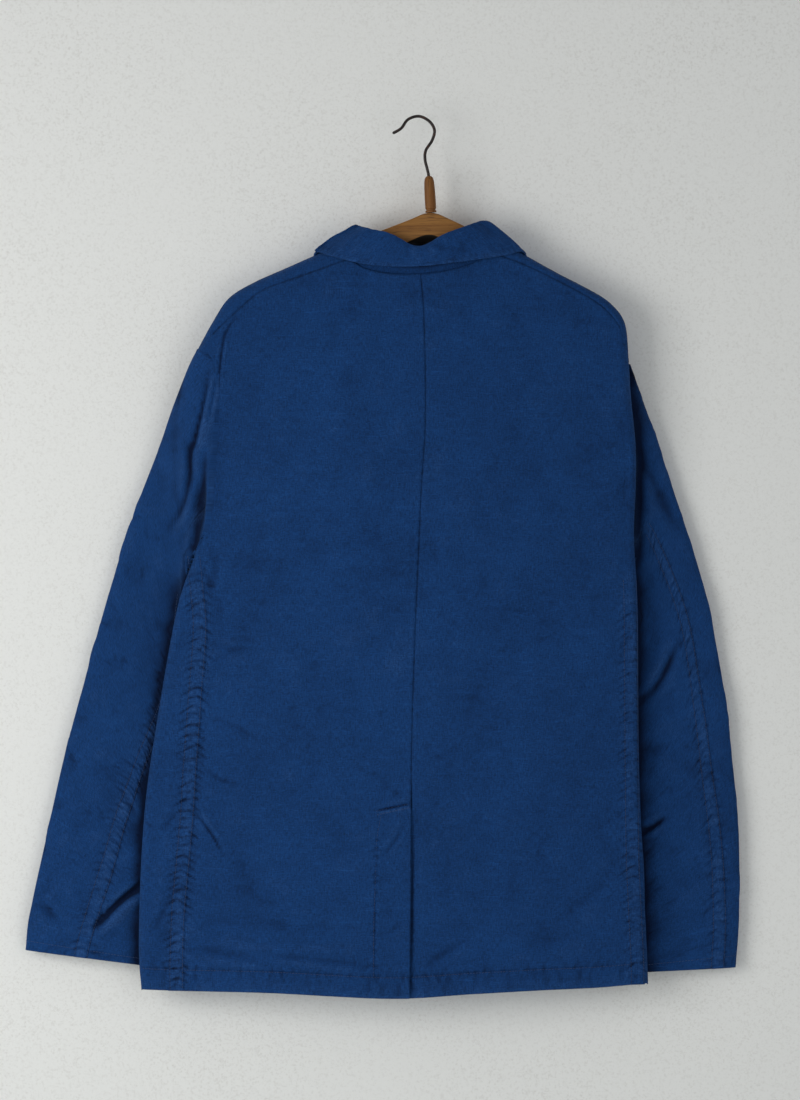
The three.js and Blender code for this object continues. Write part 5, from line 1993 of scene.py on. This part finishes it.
@dataclass(frozen=True)
class Effect:
    """A shader node group: a name, and its inputs and outputs by socket type."""

    name: str
    takes: tuple[tuple[str, str, float], ...]
    gives: tuple[tuple[str, str], ...]

    def lay(self, board: Board, given: bpy.types.NodeOutputs) -> dict[str, Socket]:
        """Lays the group's nodes and returns its results by name."""
        raise NotImplementedError

    def group(self) -> bpy.types.NodeTree:
        """The group, made the first time that it is asked for.

        Returns:
            The node group.
        """
        tree = bpy.data.node_groups.get(self.name)
        if tree:
            return tree
        tree = bpy.data.node_groups.new(self.name, "ShaderNodeTree")
        for name, kind, value in self.takes:
            socket = tree.interface.new_socket(name, in_out="INPUT",
                                               socket_type=f"NodeSocket{kind}")
            if kind == "Float":
                socket.default_value = value
        for name, kind in self.gives:
            tree.interface.new_socket(name, in_out="OUTPUT", socket_type=f"NodeSocket{kind}")
        board = Board(tree)
        results = self.lay(board, board.put("NodeGroupInput").outputs)
        board.put("NodeGroupOutput", results)
        return tree

    def use(self, board: Board, **inputs: object) -> bpy.types.NodeOutputs:
        """Places the group on a material's board with its own values, and gives its outputs.

        Args:
            board: the material's board.
            inputs: values or outputs for its inputs.

        Returns:
            The outputs.
        """
        node = board.put("ShaderNodeGroup")
        node.node_tree = self.group()
        for key, value in inputs.items():
            board.join(value, node.inputs[key])
        return node.outputs


@dataclass(frozen=True)
class Weave(Effect):
    """Plain weave with thick and thin yarns: slubs across and, fewer, down."""

    name: str = "plain_weave"
    takes: tuple = (("Grain", "Vector", 0), ("Threads", "Float", 1300.0), ("Slub", "Float", 1.0))
    gives: tuple = (("Shade", "Float"), ("Height", "Float"))

    def lay(self, board: Board, given: bpy.types.NodeOutputs) -> dict[str, Socket]:
        """Lays crossing threads, slubs and flecks.

        Args:
            board: the group's board.
            given: its inputs, by name.

        Returns:
            Its outputs, by name.
        """
        grain = given["Grain"]
        wander = board.noise(grain, 40.0, 2.0)
        shift = board.put("ShaderNodeCombineXYZ", {1: board.maths("MULTIPLY", wander, 0.004)})
        warped = board.put("ShaderNodeVectorMath", {0: grain, 1: shift.outputs[0]},
                           operation="ADD").outputs[0]
        across = board.noise(board.stretched(warped, (300, 760, 1)), 1.0, 3.0, 0.6)
        thick = board.noise(board.stretched(warped, (34, 620, 1)), 1.0, 1.0)
        thick = board.ranged(thick, 0.6, 0.78)
        down = board.noise(board.stretched(grain, (800, 170, 1)), 1.0, 3.0, 0.6)
        fleck = board.noise(grain, 750.0, 3.0, 0.7)
        parts = board.put("ShaderNodeSeparateXYZ", {0: grain})
        turns = board.maths("MULTIPLY", given["Threads"], 2 * math.pi)
        waves = (board.maths("SINE", board.maths("MULTIPLY", parts.outputs[k], turns))
                 for k in (0, 1))
        threads = board.maths("MULTIPLY", *waves)
        slubs = board.summed((across, 0.8), (down, 0.9), (fleck, 0.7), (thick, 0.22))
        centred = board.maths("MULTIPLY", board.maths("SUBTRACT", slubs, 1.2), given["Slub"])
        height = board.summed((threads, 0.12), (centred, 1.0))
        return {"Shade": board.maths("ADD", centred, 0.5), "Height": height}


@dataclass(frozen=True)
class Washed(Effect):
    """Garment-dyed cloth after many washes: mottled, with painted shade in its folds, and pale
    where it is worn and where painted highlight lies on ridges.
    """

    name: str = "washed_dye"
    takes: tuple = (("Place", "Vector", 0), ("Tone", "Float", 0.0), ("Wear", "Float", 0.0),
                    ("Shade", "Float", 0.5), ("Dye", "Color", 0), ("Deep", "Color", 0),
                    ("Rubbed", "Color", 0))
    gives: tuple = (("Colour", "Color"), ("Fade", "Float"))

    def lay(self, board: Board, given: bpy.types.NodeOutputs) -> dict[str, Socket]:
        """Lays the mottling, the painted shade of the folds, and the worn places with the painted
        highlights of ridges.

        Args:
            board: the group's board.
            given: its inputs, by name.

        Returns:
            Its outputs, by name.
        """
        place = given["Place"]
        cloudy = board.noise(place, 14.0, 4.0, 0.6)
        blotch = board.noise(place, 90.0, 3.0, 0.6)
        # deep is the painted shade of the folds and high the painted highlight of their ridges;
        # depth adds random mottling to the painted shade.
        deep = board.ranged(given["Tone"], -0.06, -1.1)
        high = board.ranged(given["Tone"], 0.06, 0.6)
        depth = board.summed((deep, 0.95), (board.ranged(cloudy, 0.64, 0.34, 0.0, 0.17), 1.0))
        colour = board.blended(depth, given["Dye"], given["Deep"])
        # Wear near seams and painted highlight on ridges both pale the colour and lower its
        # roughness.
        wear_and_highlight = board.maths("MULTIPLY", given["Wear"], board.ranged(blotch, 0.36, 0.62, 0.1, 1.0))
        wear_and_highlight = board.summed((wear_and_highlight, 0.26), (high, 0.35))
        wear_and_highlight = board.maths("MULTIPLY", wear_and_highlight, board.ranged(given["Shade"], 0.2, 0.8, 0.6, 1.4))
        colour = board.blended(wear_and_highlight, colour, given["Rubbed"])
        patchy = board.ranged(board.noise(place, 60.0, 4.0, 0.7), 0.34, 0.66, 0.94, 1.06)
        yarn = board.maths("MULTIPLY", board.ranged(given["Shade"], 0.0, 1.0, 0.55, 1.49), patchy)
        grey = board.put("ShaderNodeCombineXYZ", {0: yarn, 1: yarn, 2: yarn}).outputs[0]
        return {"Colour": board.blended(1.0, colour, grey, "MULTIPLY"), "Fade": wear_and_highlight}


@dataclass(frozen=True)
class Grain(Effect):
    """Wood grain: long fibres, rings and pores."""

    name: str = "wood_grain"
    takes: tuple = (("Place", "Vector", 0),)
    gives: tuple = (("Figure", "Float"), ("Pores", "Float"))

    def lay(self, board: Board, given: bpy.types.NodeOutputs) -> dict[str, Socket]:
        """Lays fibres along X.

        Args:
            board: the group's board.
            given: its inputs, by name.

        Returns:
            Its outputs, by name.
        """
        place = given["Place"]
        fibre = board.noise(board.stretched(place, (9, 160, 420)), 1.0, 4.0, 0.6)
        rings = board.noise(board.stretched(place, (5, 60, 130)), 1.0, 2.0)
        pores = board.noise(board.stretched(place, (60, 900, 1500)), 1.0, 1.0)
        figure = board.summed((fibre, 0.6), (rings, 0.4))
        return {"Figure": figure, "Pores": board.ranged(pores, 0.62, 0.7)}


class Surface(Board):
    """A material with one Principled shader, as it is laid out."""

    def __init__(self, name: str, rough: float, metal: float = 0.0, **constants: object) -> None:
        """Makes a material with one shader.

        Args:
            name: the material's name.
            rough: its roughness.
            metal: its metallic value.
            constants: the shader's other values, with _ for a space.
        """
        self.material = bpy.data.materials.new(name)
        self.material.use_nodes = True
        self.material.node_tree.nodes.clear()
        super().__init__(self.material.node_tree)
        self.shader = self.put("ShaderNodeBsdfPrincipled", {"Roughness": rough, "Metallic": metal})
        self.end = self.put("ShaderNodeOutputMaterial", {"Surface": self.shader.outputs[0]})
        self.feed(**constants)
        self.place = self.put("ShaderNodeTexCoord").outputs["Object"]

    def bump(self, height: object, strength: float, distance: float) -> Socket:
        """A normal from a height."""
        inputs = {"Height": height, "Strength": strength, "Distance": distance}
        return self.put("ShaderNodeBump", inputs).outputs[0]

    def attribute(self, name: str) -> Socket:
        """A value that the mesh carries."""
        return self.put("ShaderNodeAttribute", attribute_name=name).outputs["Fac"]

    def feed(self, **sources: object) -> Material:
        """Joins sources to the shader's sockets, with _ for a space, and gives the material.

        Args:
            sources: outputs or values, by socket.

        Returns:
            The material.
        """
        for key, source in sources.items():
            self.join(source, self.shader.inputs[key.replace("_", " ")])
        return self.material


@dataclass(frozen=True)
class ClothFinish:
    """Blue washed cotton and linen, with painted shade in its folds and painted highlight on their
    ridges.
    """

    name: str = "washed_cotton_linen"
    dye: Colour = (0.0056, 0.0385, 0.143, 1)
    # The second colour is that of painted shade in the folds; the third is the pale colour of worn
    # places and of painted highlights on ridges.
    deep: Colour = (0.0005, 0.0056, 0.028, 1)
    rubbed: Colour = (0.020, 0.068, 0.205, 1)
    sheen: Colour = (0.2, 0.45, 0.8, 1)
    slub: float = 1.5

    def build(self) -> Material:
        """Makes the material.

        Returns:
            The material.
        """
        cloth = Surface(self.name, 0.92, Sheen_Weight=0.07, Sheen_Roughness=0.55,
                        Sheen_Tint=self.sheen, Specular_IOR_Level=0.14)
        grain = cloth.put("ShaderNodeUVMap", uv_map="grain").outputs[0]
        weave = Weave().use(cloth, Grain=grain, Slub=self.slub)
        washed = Washed().use(cloth, Place=cloth.place, Tone=cloth.attribute("tone"),
                              Wear=cloth.attribute("wear"), Shade=weave["Shade"], Dye=self.dye,
                              Deep=self.deep, Rubbed=self.rubbed)
        return cloth.feed(Base_Color=washed["Colour"],
                          Normal=cloth.bump(weave["Height"], 0.6, 0.0006),
                          Roughness=cloth.ranged(washed["Fade"], 0, 1, 0.94, 0.84))


@dataclass(frozen=True)
class ThreadFinish:
    """Sewing thread, dyed with the cloth."""

    name: str = "sewing_thread"
    pale: Colour = (0.0065, 0.036, 0.125, 1)
    dark: Colour = (0.0028, 0.022, 0.086, 1)

    def build(self) -> Material:
        """Makes the material.

        Returns:
            The material.
        """
        thread = Surface(self.name, 0.75, Sheen_Weight=0.1)
        share = thread.ranged(thread.noise(thread.place, 300.0), 0.35, 0.65)
        return thread.feed(Base_Color=thread.blended(share, self.dark, self.pale))


@dataclass(frozen=True)
class WoodFinish:
    """Waxed beech, with its grain along X, or along Z if upright."""

    name: str
    pale: Colour
    dark: Colour
    pore: Colour
    upright: bool = False

    def build(self) -> Material:
        """Makes the material.

        Returns:
            The material.
        """
        wood = Surface(self.name, 0.5, Specular_IOR_Level=0.25)
        turn = (0, math.pi / 2 if self.upright else 0, 0)
        turned = wood.put("ShaderNodeMapping", {"Vector": wood.place, "Rotation": turn}).outputs[0]
        grain = Grain().use(wood, Place=turned)
        share = wood.ranged(grain["Figure"], 0.36, 0.64)
        colour = wood.blended(share, self.pale, self.dark)
        return wood.feed(
            Base_Color=wood.blended(wood.maths("MULTIPLY", grain["Pores"], 0.7), colour, self.pore),
            Roughness=wood.ranged(grain["Figure"], 0.3, 0.7, 0.42, 0.62),
            Normal=wood.bump(grain["Figure"], 0.25, 0.0004))


WAXED = WoodFinish("waxed_wood", (0.31, 0.148, 0.036, 1), (0.18, 0.074, 0.016, 1),
                   (0.05, 0.02, 0.008, 1))
TURNED = WoodFinish("turned_wood", (0.235, 0.102, 0.022, 1), (0.13, 0.045, 0.009, 1),
                    (0.03, 0.012, 0.005, 1), True)
# Near-black wood that paints the shade under the hanger's arch.
ARCH_SHADE = WoodFinish("arch_painted_shade", (0.018, 0.013, 0.008, 1), (0.008, 0.006, 0.004, 1),
                        (0.003, 0.002, 0.002, 1))


@dataclass(frozen=True)
class SteelFinish:
    """Dark, lightly rusted steel wire."""

    name: str = "old_steel"
    steel: Colour = (0.026, 0.022, 0.022, 1)
    rust: Colour = (0.045, 0.02, 0.013, 1)

    def build(self) -> Material:
        """Makes the material.

        Returns:
            The material.
        """
        wire = Surface(self.name, 0.45, 0.7)
        spots = wire.ranged(wire.noise(wire.place, 260.0, 5.0, 0.65), 0.48, 0.62)
        return wire.feed(
            Base_Color=wire.blended(spots, self.steel, self.rust),
            Normal=wire.bump(spots, 0.4, 0.0002),
            Roughness=wire.ranged(spots, 0, 1, 0.38, 0.8),
            Metallic=wire.ranged(spots, 0, 1, 0.75, 0.1))


@dataclass(frozen=True)
class ButtonFinish:
    """Dark blue horn-like button."""

    name: str = "dark_button"
    dark: Colour = (0.008, 0.014, 0.03, 1)
    pale: Colour = (0.03, 0.045, 0.085, 1)

    def build(self) -> Material:
        """Makes the material.

        Returns:
            The material.
        """
        horn = Surface(self.name, 0.32, Coat_Weight=0.3, Coat_Roughness=0.2)
        streaks = horn.noise(horn.stretched(horn.place, (90, 300, 260)), 1.0, 4.0, 0.6)
        share = horn.ranged(streaks, 0.4, 0.66)
        return horn.feed(Base_Color=horn.blended(share, self.dark, self.pale),
                         Roughness=horn.ranged(share, 0, 1, 0.28, 0.42))


@dataclass(frozen=True)
class WallFinish:
    """Pale plaster with fine specks; from behind it neither shows nor keeps light out."""

    name: str = "pale_plaster"
    colour: Colour = (0.76, 0.775, 0.765, 1)
    speck: Colour = (0.6, 0.6, 0.58, 1)

    def build(self) -> Material:
        """Makes the material.

        Returns:
            The material.
        """
        wall = Surface(self.name, 0.95, Specular_IOR_Level=0.1)
        fine = wall.ranged(wall.noise(wall.place, 420.0, 3.0, 0.7), 0.5, 0.72)
        cloud = wall.ranged(wall.noise(wall.place, 7.0, 4.0), 0.3, 0.7, 0.35, 0.8)
        share = wall.maths("MULTIPLY", fine, cloud)
        clear = wall.put("ShaderNodeBsdfTransparent")
        behind = wall.put("ShaderNodeNewGeometry").outputs["Backfacing"]
        shadow = wall.put("ShaderNodeLightPath").outputs["Is Shadow Ray"]
        seen = wall.maths("MAXIMUM", behind, shadow)
        both = wall.put("ShaderNodeMixShader",
                        {0: seen, 1: wall.shader.outputs[0], 2: clear.outputs[0]})
        wall.join(both.outputs[0], wall.end.inputs["Surface"])
        return wall.feed(Base_Color=wall.blended(share, self.colour, self.speck),
                         Normal=wall.bump(wall.noise(wall.place, 160.0, 4.0, 0.6), 0.35, 0.001))


# ---- hanger and buttons
def clear_choice() -> None:
    """Deselects everything."""
    bpy.ops.object.select_all(action="DESELECT")


def pick(piece: Piece) -> None:
    """Makes a piece the only one chosen, in object mode.

    Args:
        piece: the mesh object.
    """
    bpy.ops.object.mode_set(mode="OBJECT")
    clear_choice()
    piece.select_set(True)
    bpy.context.view_layer.objects.active = piece


def choose(piece: Piece, test: Callable[[bpy.types.MeshPolygon], bool]) -> None:
    """Selects the faces that pass a test, and goes into edit mode.

    Args:
        piece: the mesh object.
        test: says of a face whether it is wanted.
    """
    pick(piece)
    for group in (piece.data.vertices, piece.data.edges):
        group.foreach_set("select", np.zeros(len(group), bool))
    for face in piece.data.polygons:
        face.select = bool(test(face))
    bpy.ops.object.mode_set(mode="EDIT")
    bpy.ops.mesh.select_mode(type="FACE")


def settle(piece: Piece, name: str) -> Piece:
    """Names a piece, merges its doubles, turns its faces outwards and puts its place in its mesh.

    Args:
        piece: the mesh object.
        name: its new name.

    Returns:
        The piece.
    """
    pick(piece)
    bpy.ops.object.transform_apply(location=True, rotation=True, scale=True)
    bpy.ops.object.mode_set(mode="EDIT")
    bpy.ops.mesh.select_all(action="SELECT")
    bpy.ops.mesh.remove_doubles(threshold=1e-6)
    bpy.ops.mesh.normals_make_consistent(inside=False)
    bpy.ops.object.mode_set(mode="OBJECT")
    bpy.ops.object.shade_smooth_by_angle(angle=math.radians(40))
    piece.name = name
    return piece


def finished(piece: Piece, kind: str, **settings: object) -> None:
    """Adds a modifier to a piece and applies it.

    Args:
        piece: the mesh object.
        kind: the modifier's type.
        settings: the modifier's attributes.
    """
    pick(piece)
    bpy.ops.object.modifier_add(type=kind)
    modifier = piece.modifiers[-1]
    for key, value in settings.items():
        setattr(modifier, key, value)
    bpy.ops.object.modifier_apply(modifier=modifier.name)


@dataclass
class Hanger:
    """A wooden bar with an arched middle, a turned neck and a wire hook; sizes in millimetres."""

    arms: tuple = (
        (-178, -178, 20), (-160, -167, 27), (-138, -156.2, 30), (-103, -140.2, 31),
        (-74, -127.2, 30), (-43, -114.8, 27), (-19, -105.6, 24), (-5, -100, 22.7), (6, -95.6, 23.2),
        (17, -95.6, 24), (30, -101, 27.5), (45, -108.2, 29.5), (72, -122.8, 31),
        (105.5, -140.2, 31), (136, -157.6, 30), (160, -170.5, 27), (177, -180.5, 20),
    )
    half: float = 7.0
    hollow: float = 11.0
    neck: tuple = ((0.0, -94.6), (5.5, -94.6), (5.5, -92.9), (4.7, -92.3), (4.7, -91.3),
                   (5.4, -90.7), (5.5, -88.0), (5.5, -80.0), (5.3, -70.0), (4.9, -63.5),
                   (4.1, -60.2), (2.9, -58.5), (1.9, -58.1), (0.0, -58.1))
    neck_x: float = 12.0
    lean: float = 0.06
    wire: float = 1.5
    hook: tuple = (
        (9.9, -62.0), (9.4, -56.0), (8.0, -50.0), (6.1, -42.0), (6.6, -33.0), (13.3, -22.0),
        (15.5, -12.0), (10.5, -3.5), (0.0, 1.75), (-11.0, -1.5), (-18.0, -10.5), (-26.5, -15.5),
    )

    def bar(self) -> Piece:
        """The bar: a box cut into stations, moved on to the arms' lines, with rounded edges.

        Returns:
            The mesh object.
        """
        clear_choice()
        bpy.ops.mesh.primitive_cube_add(size=2)
        piece = bpy.context.object
        rows = np.array(self.arms, float)
        stops = np.linspace(0, 1, 73)
        x = np.interp(stops, np.linspace(0, 1, len(rows)), rows[:, 0])
        bpy.ops.object.mode_set(mode="EDIT")
        for place in (2 * stops - 1)[1:-1]:
            bpy.ops.mesh.select_all(action="SELECT")
            bpy.ops.mesh.bisect(plane_co=(place, 0, 0), plane_no=(1, 0, 0))
        bpy.ops.object.mode_set(mode="OBJECT")
        for corner in piece.data.vertices:
            at = float(np.interp((corner.co.x + 1) / 2, stops, x))
            top = float(table_value(rows[:, 0], rows[:, 1], at))
            deep = float(table_value(rows[:, 0], rows[:, 2], at))
            arch = math.exp(-(((at - 9) / 17) ** 2))
            end = self.half - 1.5 * float(smooth((abs(at - 2) - 150) / 28))
            low = top - deep + (0.4 if corner.co.y < 0 else -self.hollow) * arch
            corner.co = (at * MM, corner.co.y * end * MM, (top if corner.co.z > 0 else low) * MM)
        finished(piece, "BEVEL", width=2.2 * MM, segments=3, limit_method="ANGLE",
                 angle_limit=math.radians(50))
        return settle(piece, "hanger_bar_wood")

    @staticmethod
    def paint_arch_shade(piece: Piece, material: Material) -> None:
        """Paints shade on the arch's underside with a near-black finish.

        Args:
            piece: the bar.
            material: the near-black finish of the painted shade.
        """
        piece.data.materials.append(material)
        for face in piece.data.polygons:
            at = face.center / MM
            if abs(at.x - 9) < 26 and face.normal.z < -0.25 and at.z < -112:
                face.material_index = 1

    def neck_piece(self) -> Piece:
        """The turned neck: a ring extruded up through its profile and closed.

        Returns:
            The mesh object.
        """
        clear_choice()
        profile = self.neck[1:-1]
        bpy.ops.mesh.primitive_circle_add(vertices=40, radius=profile[0][0] * MM, fill_type="NGON",
                                          location=(0, 0, 0))
        piece = bpy.context.object
        choose(piece, lambda face: True)
        for (r, z), (r_next, z_next) in zip(profile, profile[1:]):
            bpy.ops.mesh.extrude_region_move(
                TRANSFORM_OT_translate={"value": (0, 0, (z_next - z) * MM)})
            bpy.ops.transform.resize(value=(r_next / r, r_next / r, 1),
                                     center_override=(0, 0, (z_next - profile[0][1]) * MM))
        bpy.ops.object.mode_set(mode="OBJECT")
        piece.rotation_euler = (0, -self.lean, 0)
        piece.location = (self.neck_x * MM, 0, (profile[0][1] + 0.1) * MM)
        settle(piece, "hanger_neck_turned")
        choose(piece, lambda face: face.normal.z < -0.9 and face.center.z < -0.0935)
        bpy.ops.mesh.normals_make_consistent(inside=False)
        bpy.ops.object.mode_set(mode="OBJECT")
        return piece

    def hook_wire(self) -> Piece:
        """The hook: wire swept along its path, with a round end.

        Returns:
            The mesh object.
        """
        line = Curve([(x, 0.35 * math.sin(k * 1.7) * (0 < k < 11), z) for k, (x, z) in
                      enumerate(self.hook)])
        centre = line.at(even(160))
        run = unit(np.gradient(centre, axis=0))
        side = unit(np.cross(run, np.array([0, 1.0, 0])))
        up = np.cross(side, run)
        turn = 2 * np.pi * np.arange(14) / 14
        left = np.linspace(1, 0, len(centre)) * line.length
        radius = self.wire * np.sqrt(np.clip(1 - np.clip(1 - left / 1.6, 0, 0.96) ** 2, 0, 1))
        ring = (side[:, None] * np.cos(turn)[:, None] + up[:, None] * np.sin(turn)[:, None])
        points = centre[:, None] + ring * radius[:, None, None]
        name = "hanger_hook_wire"
        return settle(meshed(name, points.reshape(-1, 3), tube(points)), name)


@dataclass
class Button:
    """A round sewn button with a raised rim; sizes in millimetres."""

    height: float
    radius: float = 10.0
    thick: float = 3.2
    hole_at: float = 1.9
    strand: float = 0.24
    shank: float = 0.55

    def seat(self) -> float:
        """Depth of the left front's face where the button sits."""
        plan = np.array([[[0.0, self.height]] * 2] * 2)
        return float(FRONT.patch(plan).points[0, 0, 1])

    def build(self, name: str) -> Piece:
        """A disc with a sunk middle, a rounded rim and two sewing holes.

        Args:
            name: its name.

        Returns:
            The mesh object.
        """
        clear_choice()
        bpy.ops.mesh.primitive_cylinder_add(vertices=48, radius=self.radius * MM,
                                            depth=self.thick * MM, end_fill_type="NGON")
        piece = bpy.context.object
        choose(piece, lambda face: face.normal.z > 0.9)
        bpy.ops.mesh.inset(thickness=1.9 * MM)
        bpy.ops.mesh.inset(thickness=0.7 * MM, depth=-0.75 * MM)
        bpy.ops.object.mode_set(mode="OBJECT")
        for x in (-self.hole_at, self.hole_at):
            clear_choice()
            bpy.ops.mesh.primitive_cylinder_add(vertices=16, radius=0.95 * MM, depth=9 * MM,
                                                location=(x * MM, 0, 0))
            drill = bpy.context.object
            finished(piece, "BOOLEAN", operation="DIFFERENCE", object=drill, solver="EXACT")
            bpy.data.objects.remove(drill)
        finished(piece, "BEVEL", width=0.35 * MM, segments=2, limit_method="ANGLE",
                 angle_limit=math.radians(50))
        piece.rotation_euler = (-math.pi / 2, 0, 0)
        piece.location = (0, (self.seat() + 0.7 + self.thick / 2) * MM, self.height * MM)
        return settle(piece, name)

    def thread(self, name: str) -> Piece:
        """Four strands over the holes, and a short shank under the button.

        Args:
            name: its name.

        Returns:
            The mesh object.
        """
        y = self.seat() + 0.7 + self.thick - 0.6
        rows = []
        for z in (-0.5, -0.17, 0.17, 0.5):
            t = even(10)
            x = (2 * t - 1) * self.hole_at
            lift = 0.5 * np.sin(np.pi * t) - 1.4 * (np.abs(2 * t - 1) ** 8)
            rows.append(np.stack([x, y + lift, self.height + z + 0 * t], -1))
        down, level = np.linspace(y - 1.5, y - 3.4, 6), np.full(6, self.height)
        shank = [np.stack([np.full(6, x), down, level], -1)
                 for x in (-self.hole_at, self.hole_at)]
        turn = 2 * np.pi * np.arange(8) / 8
        cos, sin, none = np.cos(turn), np.sin(turn), 0 * turn
        over, upright = (np.stack(sides, -1) for sides in ((none, cos, sin), (cos, none, sin)))
        rings = [row[:, None] + self.strand * over for row in rows]
        rings += [row[:, None] + self.shank * upright for row in shank]
        faces = [face for k, ring in enumerate(rings)
                 for face in tube(ring, sum(len(before) for before in rings[:k]) * len(turn))]
        return settle(meshed(name, np.concatenate([r.reshape(-1, 3) for r in rings]), faces), name)


# ---- room
@dataclass
class Room:
    """The wall, the floor, the lights and the camera; sizes in metres."""

    wall_y: float = 0.037
    wall_half: float = 3.0
    wall_top: float = 2.2
    floor_z: float = -1.45
    floor_half: float = 9.0
    middle: tuple[float, float, float] = (-0.019, 0.0, -0.432)
    distance: float = 6.0
    height: float = 1.1
    sensor_mm: float = 36
    sky: Colour = (0.97, 0.98, 1.0, 1)
    sky_strength: float = 0.34
    # Each light's name, place, power in watts, side and colour.
    lamps: tuple = (
        ("key", (-1.3, -1.4, -0.45), 18.5, 1.15, (1.0, 0.985, 0.96)),
        ("fill", (1.6, -3.4, -0.6), 23, 2.6, (1.0, 0.99, 0.97)),
        ("behind", (-0.3, 2.3, 1.1), 34, 1.6, (1, 1, 1)),
    )

    def plane(self, name: str, corners: Rows, material: Material) -> None:
        """A flat quadrilateral of the room, such as the wall or the floor.

        Args:
            name: its name.
            corners: its four corners, in metres.
            material: its finish.
        """
        plane = meshed(name, np.array(corners) / MM, [(0, 1, 2, 3)])
        plane.data.materials.append(material)

    def light(self) -> None:
        """Square soft lights aimed at the blazer's middle, and a pale sky."""
        for name, at, power, size, colour in self.lamps:
            bpy.ops.object.light_add(type="AREA", location=at)
            lamp = bpy.context.object
            lamp.name = name
            lamp.data.energy = power
            lamp.data.size = size
            lamp.data.color = colour
            aim = Vector(self.middle) - Vector(at)
            lamp.rotation_euler = aim.to_track_quat("-Z", "Y").to_euler()
        world = bpy.data.worlds.new("studio")
        bpy.context.scene.world = world
        world.use_nodes = True
        world.node_tree.nodes["Background"].inputs[0].default_value = self.sky
        world.node_tree.nodes["Background"].inputs[1].default_value = self.sky_strength

    def aim_camera(self) -> None:
        """A camera square to the blazer's back, as high as the height it shows."""
        bpy.ops.object.camera_add(location=(self.middle[0], -self.distance, self.middle[2]),
                                  rotation=(math.pi / 2, 0, 0))
        camera = bpy.context.object
        camera.data.sensor_width = camera.data.sensor_height = self.sensor_mm
        camera.data.sensor_fit = "VERTICAL"
        camera.data.lens = self.sensor_mm * self.distance / self.height
        camera.data.clip_end = 60
        bpy.context.scene.camera = camera
        bpy.context.scene.view_settings.view_transform = "Standard"

    def build(self, wall: Material, floor: Material) -> None:
        """Makes the room.

        Args:
            wall: the finish of the wall.
            floor: the finish of the floor.
        """
        w, y, z, top = self.wall_half, self.wall_y, self.floor_z, self.wall_top
        self.plane("wall", [(-w, y, z), (w, y, z), (w, y, top), (-w, y, top)], wall)
        f = self.floor_half
        self.plane("floor", [(-f, -f, z), (f, -f, z), (f, f, z), (-f, f, z)], floor)
        self.light()
        self.aim_camera()


# ---- putting it together
ROW_OFF, ROW_LIFT = 6.2, 0.85


def sewn() -> Piece:
    """All the rows of stitches.

    Returns:
        The mesh object.
    """
    rows = StitchRows("stitching")
    for off in (-ROW_OFF, ROW_OFF):
        for seam in (SIDE_SEAM_LEFT, BAND_RIGHT):
            rows.add_body(BACK, [(x + off, z) for x, z in seam], ROW_LIFT)
        for form in SLEEVES.values():
            rows.add_sleeve(form, 3.2, off, ROW_LIFT)
    for path in (FACING, *BAR_TACK):
        rows.add_body(FLAP, path)
    rows.add_body(FRONT, [(FRONT_OVERLAP - 6, z) for z in (-368, -600, -858)])
    for height in BUTTON_HEIGHTS:
        hole = ((3, 1.1), (-17, 1.1), (-18.6, 0), (-17, -1.1), (3, -1.1))
        rows.add_body(FRONT, raised(hole, height), 0.1, Stitches(0.8, 0.95, 0.55))
    for face, start, end in ((FLAP, -241, -9.8), (FLAP, -276, -243), (BACK_SUNK, -7, 227),
                             (FRONT, -275, 11), (FRONT_SUNK, 20, 226)):
        x = np.linspace(start, end, 12)
        rows.add_body(face, np.stack([x, hem_z(x) + 21.0], -1), 0.1)
    for form in SLEEVES.values():
        rows.add_cuff(form, 9.0)
    return rows.build()


def main() -> None:
    """Builds the blazer and its hanger in order."""
    logging.basicConfig(level=logging.INFO, format="%(name)s: %(message)s")
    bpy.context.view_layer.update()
    cloth = ClothFinish().build()
    thread = ThreadFinish().build()
    made = BodyPanels().build()
    left, right = Strip("band_side_left", 8.5), Strip("band_side_right", 8.0)
    bands = {
        "back_left": declare(left.on_body(BACK, SIDE_SEAM_LEFT), cloth),
        "back_right": declare(right.on_body(BACK, BAND_RIGHT), cloth),
    }
    for side, form in SLEEVES.items():
        top = f"sleeve_{side}_top"
        bands[top] = declare(Strip(f"band_sleeve_{side}", 7.5).on_sleeve(form, 3.1), cloth)
        for part in ("top", "under"):
            name = f"sleeve_{side}_{part}"
            made[name] = form.piece(name, part == "top")
    made["collar_stand"] = Cloth("collar_stand", 1.2).build([Collar().stand()])
    made["collar_fall"] = Cloth("collar_fall", 1.7).build([Collar().fall()])
    made |= {"lapel_left": Lapel(-1).build(), "lapel_right": Lapel(1).build()}
    for name, piece in made.items():
        declare(piece, cloth, name)
    declare(sewn(), thread)
    hanger = Hanger()
    bar = declare(hanger.bar(), WAXED.build(), "hanger_bar")
    hanger.paint_arch_shade(bar, ARCH_SHADE.build())
    declare(hanger.neck_piece(), TURNED.build(), "hanger_neck")
    declare(hanger.hook_wire(), SteelFinish().build(), "hanger_hook")
    horn = ButtonFinish().build()
    for k, height in enumerate(BUTTON_HEIGHTS, 1):
        declare(Button(height).build(f"button_{k}_horn"), horn, f"button_{k}")
        declare(Button(height).thread(f"button_{k}_thread"), thread)
    Room().build(WallFinish().build(), WallFinish("pale_floor").build())


if __name__ == "__main__":
    main()
